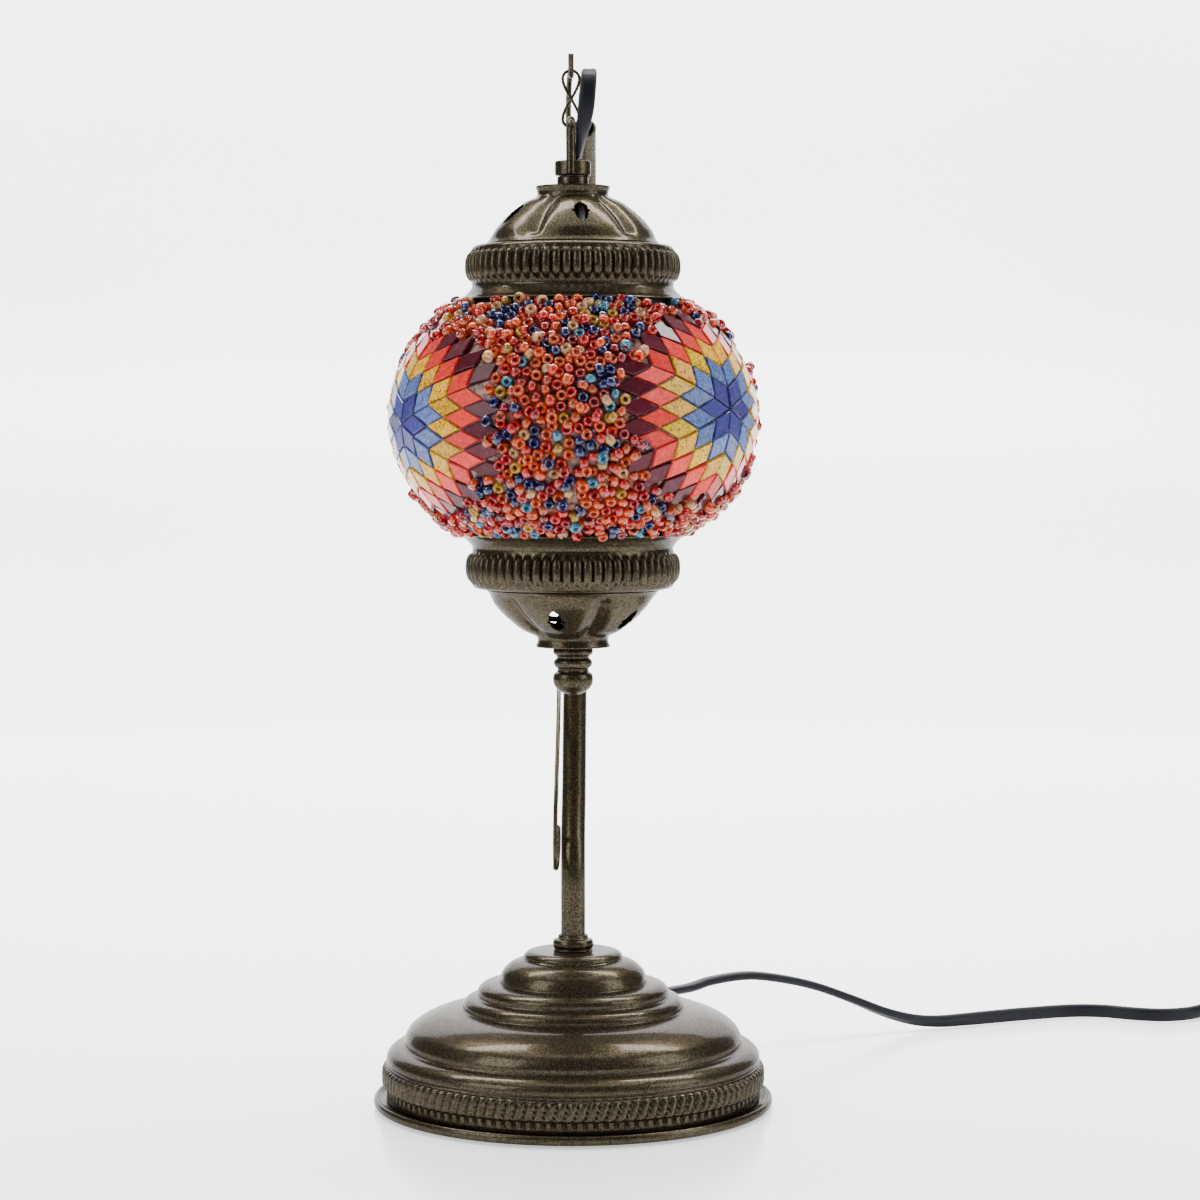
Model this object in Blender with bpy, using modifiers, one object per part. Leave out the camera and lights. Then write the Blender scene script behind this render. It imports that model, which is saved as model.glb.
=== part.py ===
"""Mosaic glass table lamp with a swan-neck stand.

The origin is the centre of the felt's underside and +Z is up. The front is -Y: the neck rises from
the base, sweeps back towards +Y behind the globe and comes forward again above it. The lantern hangs
from a wire link on a rod hook. Dimensions are in millimetres and are turned into metres as each
shape is made.
"""
import math

import bmesh
import bpy
from mathutils import Matrix, Vector

MM = 0.001
GAP = 0.3  # clearance between solids that touch on the real lamp

# Facets round a turned piece
BIG_STEPS = 24
MID_STEPS = 18
SMALL_STEPS = 12

# Base
FELT_R = 62.0
FELT_TOP = 1.7
PAN_RIM_R = 70.5
PAN_FLOOR = 2.0
PAN_BOSS_FLOOR = 7.1
SHEET = 1.0
COVER_TOP = 55.0
COVER_FOOT = 3.3

# Neck tube and its foot
TUBE_R = 4.3
TUBE_BORE_R = 3.5
LEAD_R = 2.2

# Suspension: the rod hook, the wire link and the cast collar share one plane
HANG_X = -0.6
HOOK_R = 1.0
HOOK_SADDLE_Z = 361.9
LINK_R = 0.55
BAIL_R = 1.5
LINK_TOP_Z = HOOK_SADDLE_Z + HOOK_R + LINK_R + GAP
LINK_BOTTOM_Z = 344.2
BAIL_TOP_Z = LINK_BOTTOM_Z + LINK_R + BAIL_R + GAP
COLLAR_R = 6.3
COLLAR_BORE_R = 4.6
COLLAR_BOTTOM = 327.2
COLLAR_TOP = 332.4

# Lantern
GLOBE_Z = 243.05  # middle of the globe; the lower cap mirrors the upper one about it
SKIN_A = 65.6  # half width and half height of the mosaic's outer surface, taken as an ellipsoid
SKIN_B = 51.1
GLASS_A = 63.0
GLASS_B = 48.7
GLASS_WALL = 2.4
SKIN_EDGE_R = 40.6  # the mosaic stops at the caps' flared edges
GLASS_MOUTH_R = 34.0
CAP_TOP = 323.6
NIPPLE_R = 4.2
NIPPLE_BORE_R = 3.4
LEAF_COUNT = 5
LEAF_FIRST_DEG = -80.5
FINIAL_TOP = CAP_TOP - 2 * (CAP_TOP - GLOBE_Z) - GAP
BULB_R = 22.5
BULB_Z = 228.5

# Mains cord, a flat two-core cord 3.2 mm by 5.4 mm
CORD_R = 2.7
GLAND_AT = Vector((20.0, 62.4, 17.0))
GLAND_LENGTH = 22.0
GLAND_DIRECTION = Vector((0.449, 0.844, 0.292)).normalized()
SWITCH_X = 333.0
SWITCH_Y = (204.0, 266.0)
SWITCH_HALF_WIDTH = 11.0
SWITCH_SPLIT_Z = 6.6
SWITCH_TOP_Z = 13.2
ROCKER_PIVOT_Z = 10.4
COIL_CENTRE = Vector((300.0, 170.0, 0.0))
COIL_R = (21.0, 35.2)
COIL_Z = (0.8, 12.2)
PLUG_Y = (17.0, 52.0)
BOOT_LENGTH = 18.0

# Route of the cord on the table, chosen by hand, from the gland to the switch
CORD_ROUTE = [
    (44.2, 98.0, 24.2), (52.9, 104.0, 25.9), (66.8, 110.0, 26.8), (80.3, 116.0, 24.5),
    (94.1, 122.0, 20.5), (107.9, 127.5, 14.8), (122.3, 133.0, 8.2), (133.8, 137.5, 4.4),
    (144.2, 141.5, 2.9), (155.1, 145.8, 2.8), (165.8, 150.8, 2.8), (180.8, 157.7, 2.8),
    (200.0, 164.6, 2.8), (213.2, 164.6, 2.8), (222.0, 160.2, 2.8), (228.5, 157.2, 2.8),
    (236.0, 155.5, 2.8), (243.5, 156.8, 2.8), (250.1, 160.7, 2.8), (255.0, 166.5, 2.8),
    (257.7, 173.7, 2.8), (260.6, 182.5, 2.8), (264.8, 192.0, 2.8), (270.0, 202.0, 2.8),
    (275.0, 213.0, 2.8), (278.3, 226.0, 2.8), (279.8, 241.0, 2.8), (280.3, 257.0, 2.8),
    (280.9, 273.0, 2.8), (284.2, 286.8, 2.8), (293.4, 297.4, 2.8), (306.6, 301.2, 2.8),
    (319.6, 297.4, 2.8), (329.2, 287.4, 3.6), (332.7, 277.0, 5.2), (333.0, 266.8, 6.2),
]
ENTRY_ROUTE = [(333.0, 203.2, 6.2), (333.1, 196.0, 5.0), (333.3, 188.8, 3.8)]
TAIL_ROUTE = [
    (336.3, 154.0, 8.6), (335.4, 141.0, 5.8), (334.6, 127.0, 3.2), (334.2, 112.0, 2.8),
    (333.7, 98.0, 3.4), (333.2, 84.0, 5.8), (333.0, 71.0, 7.0),
]

# The neck's centre line and the rods welded to its left side
NECK_ROUTE = [
    (0.0, 0.0, 2.4), (0.0, 0.0, 30.0), (0.0, 0.0, 60.0), (0.0, 0.0, 84.0), (0.0, 4.6, 96.0),
    (0.2, 16.0, 112.0), (0.3, 34.0, 136.0), (0.6, 55.0, 162.0), (1.2, 74.0, 192.0),
    (2.0, 83.0, 222.0), (2.8, 84.0, 252.0), (3.4, 79.0, 282.0), (3.8, 66.0, 310.0),
    (3.8, 46.0, 333.0), (3.8, 27.0, 346.5),
]
HOOK_ROUTE = [
    (-1.8, 50.0, 329.2), (-1.8, 38.0, 339.3), (-1.8, 27.0, 346.7), (-1.7, 19.0, 353.0),
    (-1.4, 12.0, 359.6), (-1.1, 8.0, 363.0), (-0.9, 5.2, 364.0), (-0.7, 2.6, 363.0),
    (HANG_X, 0.0, HOOK_SADDLE_Z), (HANG_X, -2.6, 363.2), (HANG_X, -4.4, 365.8),
    (HANG_X, -5.4, 369.0),
]
SCROLL_ROUTE = [
    (-5.5, 42.0, 145.6), (-5.5, 30.0, 137.6), (-5.6, 14.0, 127.0), (-5.8, -2.0, 116.0),
    (-6.0, -13.0, 106.0), (-6.1, -18.6, 96.0), (-6.1, -16.4, 88.4), (-6.0, -9.6, 85.6),
    (-5.7, -3.6, 88.6), (-5.5, -1.6, 94.4), (-5.5, -5.0, 99.0), (-5.6, -9.8, 98.0),
    (-5.7, -11.0, 93.6),
]
LOOP_ROUTE = [
    (3.8, 31.0, 343.7), (3.9, 24.0, 348.8), (4.4, 17.0, 354.2), (5.0, 10.0, 359.4),
    (5.5, 4.0, 362.6), (5.7, -1.5, 363.2), (5.7, -6.0, 360.8), (5.4, -8.2, 356.0),
    (4.9, -8.0, 350.5), (3.8, -5.5, 344.5), (2.8, -2.6, 339.0), (1.9, -0.9, 335.0),
    (1.3, -0.2, 333.4),
]
LEAD_IN_BASE = [(17.0, 57.0, 15.3), (13.5, 43.0, 15.0), (9.4, 27.0, 17.4), (5.6, 15.0, 22.0),
                (2.6, 6.6, 29.5), (0.7, 1.6, 38.0), (0.0, 0.0, 47.0)]


def clear_scene():
    for old in list(bpy.data.objects):
        bpy.data.objects.remove(old, do_unlink=True)


def new_collection(name):
    group = bpy.data.collections.new(name)
    bpy.context.scene.collection.children.link(group)
    return group


def material(name, colour, roughness, metallic=0.0, alpha=1.0):
    mat = bpy.data.materials.new(name)
    mat.use_nodes = True
    shader = mat.node_tree.nodes["Principled BSDF"]
    shader.inputs["Base Color"].default_value = (*colour, 1.0)
    shader.inputs["Roughness"].default_value = roughness
    shader.inputs["Metallic"].default_value = metallic
    shader.inputs["Alpha"].default_value = alpha
    mat.diffuse_color = (*colour, alpha)
    return mat


clear_scene()
PARTS = new_collection("mosaic_glass_table_lamp")
CUTTERS = new_collection("cutters")

BRONZE = material("bronze_paint", (0.16, 0.13, 0.08), 0.32, 1.0)
STEEL = material("plated_steel", (0.55, 0.55, 0.53), 0.35, 1.0)
BRASS = material("brass", (0.72, 0.52, 0.22), 0.3, 1.0)
IRON = material("cast_iron", (0.09, 0.09, 0.09), 0.7, 1.0)
FELT = material("felt", (0.04, 0.05, 0.04), 0.95)
GLASS = material("clear_glass", (0.95, 0.96, 0.95), 0.05, 0.0, 0.35)
MOSAIC = material("mosaic_glass", (0.72, 0.22, 0.12), 0.12, 0.0, 0.9)
CORD_PVC = material("black_pvc", (0.012, 0.013, 0.02), 0.38)
HARD_PLASTIC = material("black_plastic", (0.015, 0.015, 0.018), 0.3)
RUBBER = material("black_rubber", (0.02, 0.02, 0.02), 0.6)
CERAMIC = material("white_ceramic", (0.85, 0.84, 0.8), 0.3)


def place(obj, mat, group=None):
    obj.data.materials.clear()
    obj.data.materials.append(mat)
    (group or PARTS).objects.link(obj)
    return obj


def turned(name, profile, steps, mat, group=None):
    """Turn a closed profile of (radius, height) points round Z, listed down its outer side first."""
    mesh = bpy.data.meshes.new(name)
    form = bmesh.new()
    dots = [form.verts.new((r * MM, 0.0, z * MM)) for r, z in profile]
    on_axis = profile[0][0] == 0.0 and profile[-1][0] == 0.0
    pairs = list(zip(dots, dots[1:]))
    if not on_axis:
        pairs.append((dots[-1], dots[0]))
    for first, second in pairs:
        form.edges.new((first, second))
    form.to_mesh(mesh)
    form.free()
    obj = bpy.data.objects.new(name, mesh)
    screw = obj.modifiers.new("Turn", "SCREW")
    screw.steps = steps
    screw.render_steps = steps
    screw.use_merge_vertices = True
    screw.merge_threshold = 0.00001
    return place(obj, mat, group)


def ring(name, inner, outer, low, high, steps, mat, group=None):
    return turned(name, [(outer, high), (outer, low), (inner, low), (inner, high)], steps, mat, group)


def smooth_route(points, spacing):
    """Points every `spacing` millimetres or so along a smooth curve through the given points."""
    dots = [Vector(p) for p in points]
    padded = [2 * dots[0] - dots[1], *dots, 2 * dots[-1] - dots[-2]]
    route = []
    for before, start, end, after in zip(padded, padded[1:], padded[2:], padded[3:]):
        pieces = max(1, round((end - start).length / spacing))
        for step in range(pieces):
            t = step / pieces
            bend_in = 2 * before - 5 * start + 4 * end - after
            bend_out = 3 * start - before - 3 * end + after
            route.append(start + 0.5 * (t * (end - before) + t * t * bend_in + t**3 * bend_out))
    route.append(dots[-1])
    return route


def swept(name, route, radius, mat, resolution=1, closed=False, group=None):
    """A round rod or cord along a route of points in millimetres."""
    curve = bpy.data.curves.new(name, "CURVE")
    curve.dimensions = "3D"
    curve.bevel_depth = radius * MM
    curve.bevel_resolution = resolution
    curve.use_fill_caps = not closed
    spline = curve.splines.new("POLY")
    spline.points.add(len(route) - 1)
    for dot, place_mm in zip(spline.points, route):
        dot.co = (*(Vector(place_mm) * MM), 1.0)
    spline.use_cyclic_u = closed
    return place(bpy.data.objects.new(name, curve), mat, group)


def as_mesh(obj, mat, group=None):
    """Replace a curve by its mesh, welded at the caps, so that it can be cut or joined."""
    graph = bpy.context.evaluated_depsgraph_get()
    mesh = bpy.data.meshes.new_from_object(obj.evaluated_get(graph))
    form = bmesh.new()
    form.from_mesh(mesh)
    bmesh.ops.remove_doubles(form, verts=form.verts, dist=0.000001)
    form.to_mesh(mesh)
    form.free()
    name = obj.name
    matrix = obj.matrix_world.copy()
    bpy.data.objects.remove(obj, do_unlink=True)
    solid = bpy.data.objects.new(name, mesh)
    solid.matrix_world = matrix
    return place(solid, mat, group)


def cylinder(name, radius, low, high, segments, mat, group=None):
    mesh = bpy.data.meshes.new(name)
    form = bmesh.new()
    middle = Matrix.Translation((0.0, 0.0, (low + high) / 2 * MM))
    bmesh.ops.create_cone(form, cap_ends=True, segments=segments, radius1=radius * MM,
                          radius2=radius * MM, depth=(high - low) * MM, matrix=middle)
    form.to_mesh(mesh)
    form.free()
    return place(bpy.data.objects.new(name, mesh), mat, group)


def block(name, low, high, mat, bevel=0.0, group=None):
    """A box between two corners, with rounded edges where a bevel is given."""
    size = Vector(high) - Vector(low)
    centre = (Vector(high) + Vector(low)) / 2
    mesh = bpy.data.meshes.new(name)
    form = bmesh.new()
    matrix = Matrix.Translation(centre * MM) @ Matrix.Diagonal((*(size * MM), 1.0))
    bmesh.ops.create_cube(form, size=1.0, matrix=matrix)
    form.to_mesh(mesh)
    form.free()
    obj = bpy.data.objects.new(name, mesh)
    if bevel:
        rounding = obj.modifiers.new("Rounding", "BEVEL")
        rounding.width = bevel * MM
        rounding.segments = 2
    return place(obj, mat, group)


def combine(obj, other, operation):
    """Cut a solid with another, or join another to it; the other becomes a guide."""
    other.hide_render = True
    other.display_type = "WIRE"
    boolean = obj.modifiers.new(operation.title(), "BOOLEAN")
    boolean.operation = operation
    boolean.solver = "EXACT"
    boolean.object = other
    return obj


def nut(name, across, bore, low, high):
    """A hexagon nut; `across` is the distance between its flats."""
    body = cylinder(name, across / math.sqrt(3), low, high, 6, STEEL)
    hole = cylinder(name + "_bore", bore, low - 1.0, high + 1.0, SMALL_STEPS, STEEL, CUTTERS)
    return combine(body, hole, "DIFFERENCE")


def half_height(radius, half_width, half_tall):
    return half_tall * math.sqrt(1.0 - (radius / half_width) ** 2)


def flipped(profile):
    """Mirror a profile about the globe's middle, keeping it listed down its outer side."""
    return [(r, 2 * GLOBE_Z - z) for r, z in reversed(profile)]


def build_base():
    cylinder("felt_pad", FELT_R, 0.0, FELT_TOP, BIG_STEPS, FELT)
    rim = [(69.0, 4.0), (PAN_RIM_R, 3.0), (PAN_RIM_R, 1.4), (69.2, 0.5)]
    pan_under = [(67.9, PAN_FLOOR), (14.6, PAN_FLOOR), (13.2, PAN_BOSS_FLOOR), (4.7, PAN_BOSS_FLOOR)]
    pan_top = [(4.7, PAN_BOSS_FLOOR + SHEET), (14.0, PAN_BOSS_FLOOR + SHEET), (15.4, PAN_FLOOR + SHEET),
               (67.7, PAN_FLOOR + SHEET)]
    turned("base_pan", rim + pan_under + pan_top, BIG_STEPS, BRONZE)
    outside = [
        (16.6, COVER_TOP), (17.4, 52.4), (21.8, 50.8), (25.2, 47.2), (26.1, 44.3), (32.4, 42.8),
        (33.8, 39.4), (37.8, 37.6), (39.2, 34.7), (50.0, 32.7), (57.8, 28.0), (59.6, 22.2),
        (64.6, 20.2), (66.0, 15.6), (67.7, 13.6), (67.7, 10.4), (66.0, 8.6), (66.0, COVER_FOOT),
    ]
    inside = [
        (65.0, COVER_FOOT), (65.0, 17.8), (58.6, 20.9), (57.0, 27.2), (37.8, 33.6), (35.8, 37.0),
        (30.4, 42.0), (24.9, 43.5), (20.8, 49.8), (15.4, COVER_TOP - SHEET), (4.7, COVER_TOP - SHEET),
        (4.7, COVER_TOP),
    ]
    cover = turned("base_shell", outside + inside, BIG_STEPS, BRONZE)
    hole = cylinder("gland_hole", 4.6, -12.0, 12.0, SMALL_STEPS, BRONZE, CUTTERS)
    hole.rotation_euler = GLAND_DIRECTION.to_track_quat("Z", "Y").to_euler()
    hole.location = GLAND_AT * MM
    combine(cover, hole, "DIFFERENCE")
    ring("base_weight", 17.0, 54.0, PAN_FLOOR + SHEET + GAP, 9.6, BIG_STEPS, IRON)
    ring("base_washer", 4.7, 9.0, 5.7, PAN_BOSS_FLOOR - GAP, MID_STEPS, STEEL)
    nut("base_nut", 13.0, 4.65, 2.4, 5.4)
    nut("stem_locknut", 13.0, 4.65, 50.4, COVER_TOP - SHEET - GAP)
    collar = [(5.5, 60.6), (5.5, 59.2), (7.0, 58.6), (7.3, 57.2), (7.0, COVER_TOP + GAP),
              (4.6, COVER_TOP + GAP), (4.6, 60.6)]
    turned("stem_collar", collar, MID_STEPS, BRONZE)


def build_gland():
    profile = [(3.7, GLAND_LENGTH), (4.7, 5.4), (5.9, 4.8), (5.9, 3.2), (4.2, 3.2), (4.2, -3.6), (3.1, -3.6),
               (3.1, GLAND_LENGTH)]
    gland = turned("cord_gland", profile, SMALL_STEPS, RUBBER)
    gland.rotation_euler = GLAND_DIRECTION.to_track_quat("Z", "Y").to_euler()
    gland.location = GLAND_AT * MM


def build_neck():
    route = smooth_route(NECK_ROUTE, 11.0)
    tube = as_mesh(swept("neck_tube", route, TUBE_R, BRONZE, 2), BRONZE)
    ends = [route[0] + (route[0] - route[1]) * 0.3, *route[1:-1], route[-1] + (route[-1] - route[-2]) * 0.3]
    bore = as_mesh(swept("neck_bore", ends, TUBE_BORE_R, BRONZE, 2, group=CUTTERS), BRONZE, CUTTERS)
    combine(tube, bore, "DIFFERENCE")
    window = block("lead_window", (-3.0, 0.0, 19.0), (3.0, 8.0, 46.0), BRONZE, group=CUTTERS)
    window.rotation_euler = (0.0, 0.0, math.atan2(LEAD_IN_BASE[4][1], LEAD_IN_BASE[4][0]) - math.pi / 2)
    combine(tube, window, "DIFFERENCE")
    swept("hook_rod", smooth_route(HOOK_ROUTE, 2.6), HOOK_R, BRONZE)
    swept("scroll_rod", smooth_route(SCROLL_ROUTE, 4.5), 0.8, BRONZE)
    inside_gland = GLAND_AT + GLAND_DIRECTION * 8.0
    gland_mouth = GLAND_AT - GLAND_DIRECTION * 2.0
    end = Vector(NECK_ROUTE[-1])
    up = (end - Vector(NECK_ROUTE[-2])).normalized()
    lead = [inside_gland, gland_mouth, *LEAD_IN_BASE, *NECK_ROUTE[2:-1], end - up * 6.0]
    swept("neck_lead", smooth_route(lead, 14.0), LEAD_R, CORD_PVC)


def build_suspension():
    middle = (LINK_TOP_Z + LINK_BOTTOM_Z) / 2
    half = (LINK_TOP_Z - LINK_BOTTOM_Z) / 2
    turns = [2 * math.pi * k / 32 for k in range(32)]
    eight = [(HANG_X + 2.9 * math.sin(2 * t), 0.75 * math.sin(t), middle + half * math.cos(t)) for t in turns]
    swept("figure8_link", eight, LINK_R, BRONZE, 1, closed=True)
    profile = [(COLLAR_R, COLLAR_TOP), (COLLAR_R, COLLAR_BOTTOM), (COLLAR_BORE_R, COLLAR_BOTTOM),
               (COLLAR_BORE_R, COLLAR_TOP)]
    collar = turned("hanging_collar", profile, MID_STEPS, BRONZE)
    reach = 6.1
    spring_z = BAIL_TOP_Z - reach
    arch = [math.pi * k / 12 for k in range(13)]
    bail = [(HANG_X, -reach, 328.2), (HANG_X, -reach, 334.0)]
    bail += [(HANG_X, -reach * math.cos(a), spring_z + reach * math.sin(a)) for a in arch]
    bail += [(HANG_X, reach, 334.0), (HANG_X, reach, 328.2)]
    legs = as_mesh(swept("bail", bail, BAIL_R, BRONZE, 2, group=CUTTERS), BRONZE, CUTTERS)
    combine(collar, legs, "UNION")
    clear = cylinder("collar_bore", COLLAR_BORE_R, 320.0, 338.0, MID_STEPS, BRONZE, CUTTERS)
    combine(collar, clear, "DIFFERENCE")
    ring("lock_ring", COLLAR_BORE_R, 5.5, CAP_TOP + GAP, COLLAR_BOTTOM - GAP, MID_STEPS, BRONZE)
    swept("loop_lead", smooth_route(LOOP_ROUTE, 5.0), LEAD_R, CORD_PVC, 2)


CAP_OUTSIDE = [
    (12.6, CAP_TOP), (12.1, 320.5), (17.5, 317.4), (22.8, 313.3), (27.0, 308.8), (30.2, 303.8),
    (35.1, 301.9), (37.2, 298.4), (37.2, 291.6), (35.2, 289.4), (37.6, 285.6), (39.9, 283.9),
]
CAP_INSIDE = [
    (39.3, 283.4), (36.8, 284.9), (34.3, 289.2), (34.2, 301.2), (29.6, 302.9), (26.3, 308.1),
    (22.2, 312.6), (11.3, 319.9), (11.3, CAP_TOP - SHEET),
]


def leaf_cutter(name, angle, upside):
    """A pointed leaf with two side cusps, set square to the cap's dome."""
    side = [(2.0, 3.6), (2.2, 1.3), (3.0, 0.7), (2.2, 0.0), (1.9, -2.8)]
    outline = [(0.0, 5.2), *side, (0.0, -5.4), *[(-x, y) for x, y in reversed(side)]]
    curve = bpy.data.curves.new(name, "CURVE")
    curve.dimensions = "2D"
    curve.fill_mode = "BOTH"
    curve.extrude = 5.0 * MM
    spline = curve.splines.new("POLY")
    spline.points.add(len(outline) - 1)
    for dot, (x, y) in zip(spline.points, outline):
        dot.co = (x * MM, y * MM, 0.0, 1.0)
    spline.use_cyclic_u = True
    obj = place(bpy.data.objects.new(name, curve), BRONZE, CUTTERS)
    slope = math.radians(46.0)
    out = Vector((math.cos(angle), math.sin(angle), 0.0))
    normal = out * math.cos(slope) + Vector((0.0, 0.0, math.sin(slope) * upside))
    along = out * -math.sin(slope) + Vector((0.0, 0.0, math.cos(slope) * upside))
    across = along.cross(normal)
    height = 313.2 if upside > 0 else 2 * GLOBE_Z - 313.2
    frame = Matrix((across, along, normal)).transposed().to_4x4()
    obj.matrix_world = Matrix.Translation((out * 22.6 + Vector((0.0, 0.0, height))) * MM) @ frame
    bpy.context.view_layer.update()
    return as_mesh(obj, BRONZE, CUTTERS)


def build_cap(name, hole, upside):
    profile = [*CAP_OUTSIDE, *CAP_INSIDE, (hole, CAP_TOP - SHEET), (hole, CAP_TOP)]
    if upside < 0:
        profile = flipped(profile)
    cap = turned(name, profile, BIG_STEPS, BRONZE)
    for number in range(LEAF_COUNT):
        turn = number / LEAF_COUNT * 360.0 + (0.0 if upside > 0 else -22.5)
        angle = math.radians(LEAF_FIRST_DEG + turn)
        combine(cap, leaf_cutter(f"{name}_leaf_{number}", angle, upside), "DIFFERENCE")


def build_globe():
    rows = 4
    edge = math.acos(SKIN_EDGE_R / SKIN_A)
    rise = [edge - edge * k / rows for k in range(2 * rows + 1)]
    skin_out = [(SKIN_A * math.cos(t), GLOBE_Z + SKIN_B * math.sin(t)) for t in rise]
    bed = GAP + 0.05
    skin_in = [((GLASS_A + bed) * math.cos(t), GLOBE_Z + (GLASS_B + bed) * math.sin(t)) for t in reversed(rise)]
    turned("mosaic_skin", skin_out + skin_in, BIG_STEPS, MOSAIC)
    mouth = math.acos(GLASS_MOUTH_R / GLASS_A)
    sweep = [mouth, *rise, -mouth]
    glass_out = [(GLASS_A * math.cos(t), GLOBE_Z + GLASS_B * math.sin(t)) for t in sweep]
    inner_a = GLASS_A - GLASS_WALL
    inner_b = GLASS_B - GLASS_WALL
    glass_in = [(inner_a * math.cos(t), GLOBE_Z + inner_b * math.sin(t)) for t in reversed(sweep)]
    turned("globe_glass", glass_out + glass_in, BIG_STEPS, GLASS)
    seal = [(35.0, 286.3), (37.3, 284.0)]
    seal += [(r, GLOBE_Z + half_height(r, GLASS_A, GLASS_B) + 0.4) for r in (37.6, 34.6)]
    seal.append((34.4, 285.6))
    turned("top_gasket", seal, BIG_STEPS, RUBBER)
    turned("bottom_gasket", flipped(seal), BIG_STEPS, RUBBER)


def build_lampholder():
    ring("centre_nipple", NIPPLE_BORE_R, NIPPLE_R, 296.6, 331.0, SMALL_STEPS, STEEL)
    nut("cap_nut", 13.0, NIPPLE_R + GAP, 318.8, CAP_TOP - SHEET - GAP)
    shell = [(9.0, 300.2), (12.6, 298.2), (13.8, 294.0), (13.8, 266.0), (12.6, 266.0), (12.6, 293.4),
             (11.8, 296.8), (8.6, 299.0), (NIPPLE_R + GAP, 299.0), (NIPPLE_R + GAP, 300.2)]
    turned("socket_shell", shell, MID_STEPS, HARD_PLASTIC)
    insulator = [(11.4, 296.0), (12.0, 293.0), (12.0, 285.4), (2.6, 285.4), (2.6, 291.0), (3.0, 296.0)]
    turned("socket_insulator", insulator, MID_STEPS, CERAMIC)
    ring("screw_shell", 7.5, 8.2, 267.0, 285.0, MID_STEPS, BRASS)
    contact = [(0.0, 290.0), (2.0, 290.0), (2.0, 285.0), (3.4, 284.6), (3.4, 283.9), (0.0, 283.9)]
    turned("centre_contact", contact, SMALL_STEPS, BRASS)
    lead = [(1.0, 0.0, 332.2), (0.8, 0.0, 326.0), (0.4, 0.0, 314.0), (0.0, 0.0, 303.0), (0.0, 0.0, 296.4)]
    swept("socket_lead", smooth_route(lead, 8.0), 2.0, CORD_PVC)


def build_bulb():
    cap = [(0.0, 283.5), (2.4, 283.5), (3.4, 281.8), (6.9, 280.4), (6.9, 264.0), (6.1, 264.0), (6.1, 279.4),
           (0.0, 280.6)]
    turned("bulb_cap", cap, MID_STEPS, BRASS)
    neck = math.asin(5.6 / BULB_R)
    arc = [neck + (math.pi - neck) * k / 7 for k in range(8)]
    outer = [(BULB_R * math.sin(a), BULB_Z + BULB_R * math.cos(a)) for a in arc[1:-1]]
    wall = 0.8
    inner_r = BULB_R - wall
    inner = [(inner_r * math.sin(a), BULB_Z + inner_r * math.cos(a)) for a in reversed(arc[1:-1])]
    top = [(5.6, 278.0), (5.6, 258.0), (8.4, 250.6)]
    inside_top = [(7.6, 250.0), (4.8, 257.6), (4.8, 278.0)]
    bottom = [(0.0, BULB_Z - BULB_R), (0.0, BULB_Z - inner_r)]
    profile = [*top, *outer, *bottom, *inner, *inside_top]
    turned("bulb_glass", profile, MID_STEPS, GLASS)
    stem = [(0.0, 277.0), (3.8, 277.0), (3.4, 262.0), (1.6, 252.0), (1.2, 236.0), (2.4, 234.0), (0.0, 232.0)]
    turned("bulb_stem", stem, SMALL_STEPS, GLASS)


def build_harp():
    half = [(0.0, 0.0, 171.6), (8.0, 0.0, 172.4), (17.0, 0.0, 178.0), (23.0, 0.0, 190.0), (26.0, 0.0, 206.0),
            (27.2, 0.0, 228.0), (27.0, 0.0, 252.0), (25.4, 0.0, 276.0), (21.6, 0.0, 293.0), (14.4, 0.0, 301.2),
            (7.0, 0.0, 302.4)]
    loop = [(-x, y, z) for x, y, z in reversed(half[1:])] + half
    wire = as_mesh(swept("harp_frame", smooth_route(loop, 22.0), 1.1, STEEL), STEEL)
    plate = ring("harp_plate", NIPPLE_R + GAP, 9.6, 301.4, 303.2, MID_STEPS, STEEL, CUTTERS)
    combine(wire, plate, "UNION")
    boss = cylinder("harp_boss", 4.0, 169.8, 173.4, SMALL_STEPS, STEEL, CUTTERS)
    combine(wire, boss, "UNION")
    hole = cylinder("harp_hole", 2.3, 160.0, 180.0, 12, STEEL, CUTTERS)
    combine(wire, hole, "DIFFERENCE")
    clear = cylinder("harp_nipple_hole", NIPPLE_R + GAP, 295.0, 308.0, MID_STEPS, STEEL, CUTTERS)
    combine(wire, clear, "DIFFERENCE")
    cylinder("finial_stud", 1.9, FINIAL_TOP - 9.0, 178.0, 12, STEEL)
    nut("stud_nut", 7.0, 2.3, 173.7, 176.4)


def build_finial():
    top = FINIAL_TOP
    outside = [
        (6.8, top), (7.15, top - 1.2), (6.8, top - 2.6), (5.6, top - 3.4), (5.6, top - 3.9),
        (6.7, top - 4.5), (6.9, top - 5.6), (6.6, top - 6.8), (5.5, top - 7.6), (5.5, top - 8.4),
        (6.6, top - 9.4), (7.15, top - 11.6), (6.4, top - 14.4), (4.0, top - 16.2), (0.0, top - 16.6),
    ]
    inside = [(0.0, top - 9.6), (2.3, top - 9.6), (2.3, top)]
    turned("finial", outside + inside, MID_STEPS, BRONZE)


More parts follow.
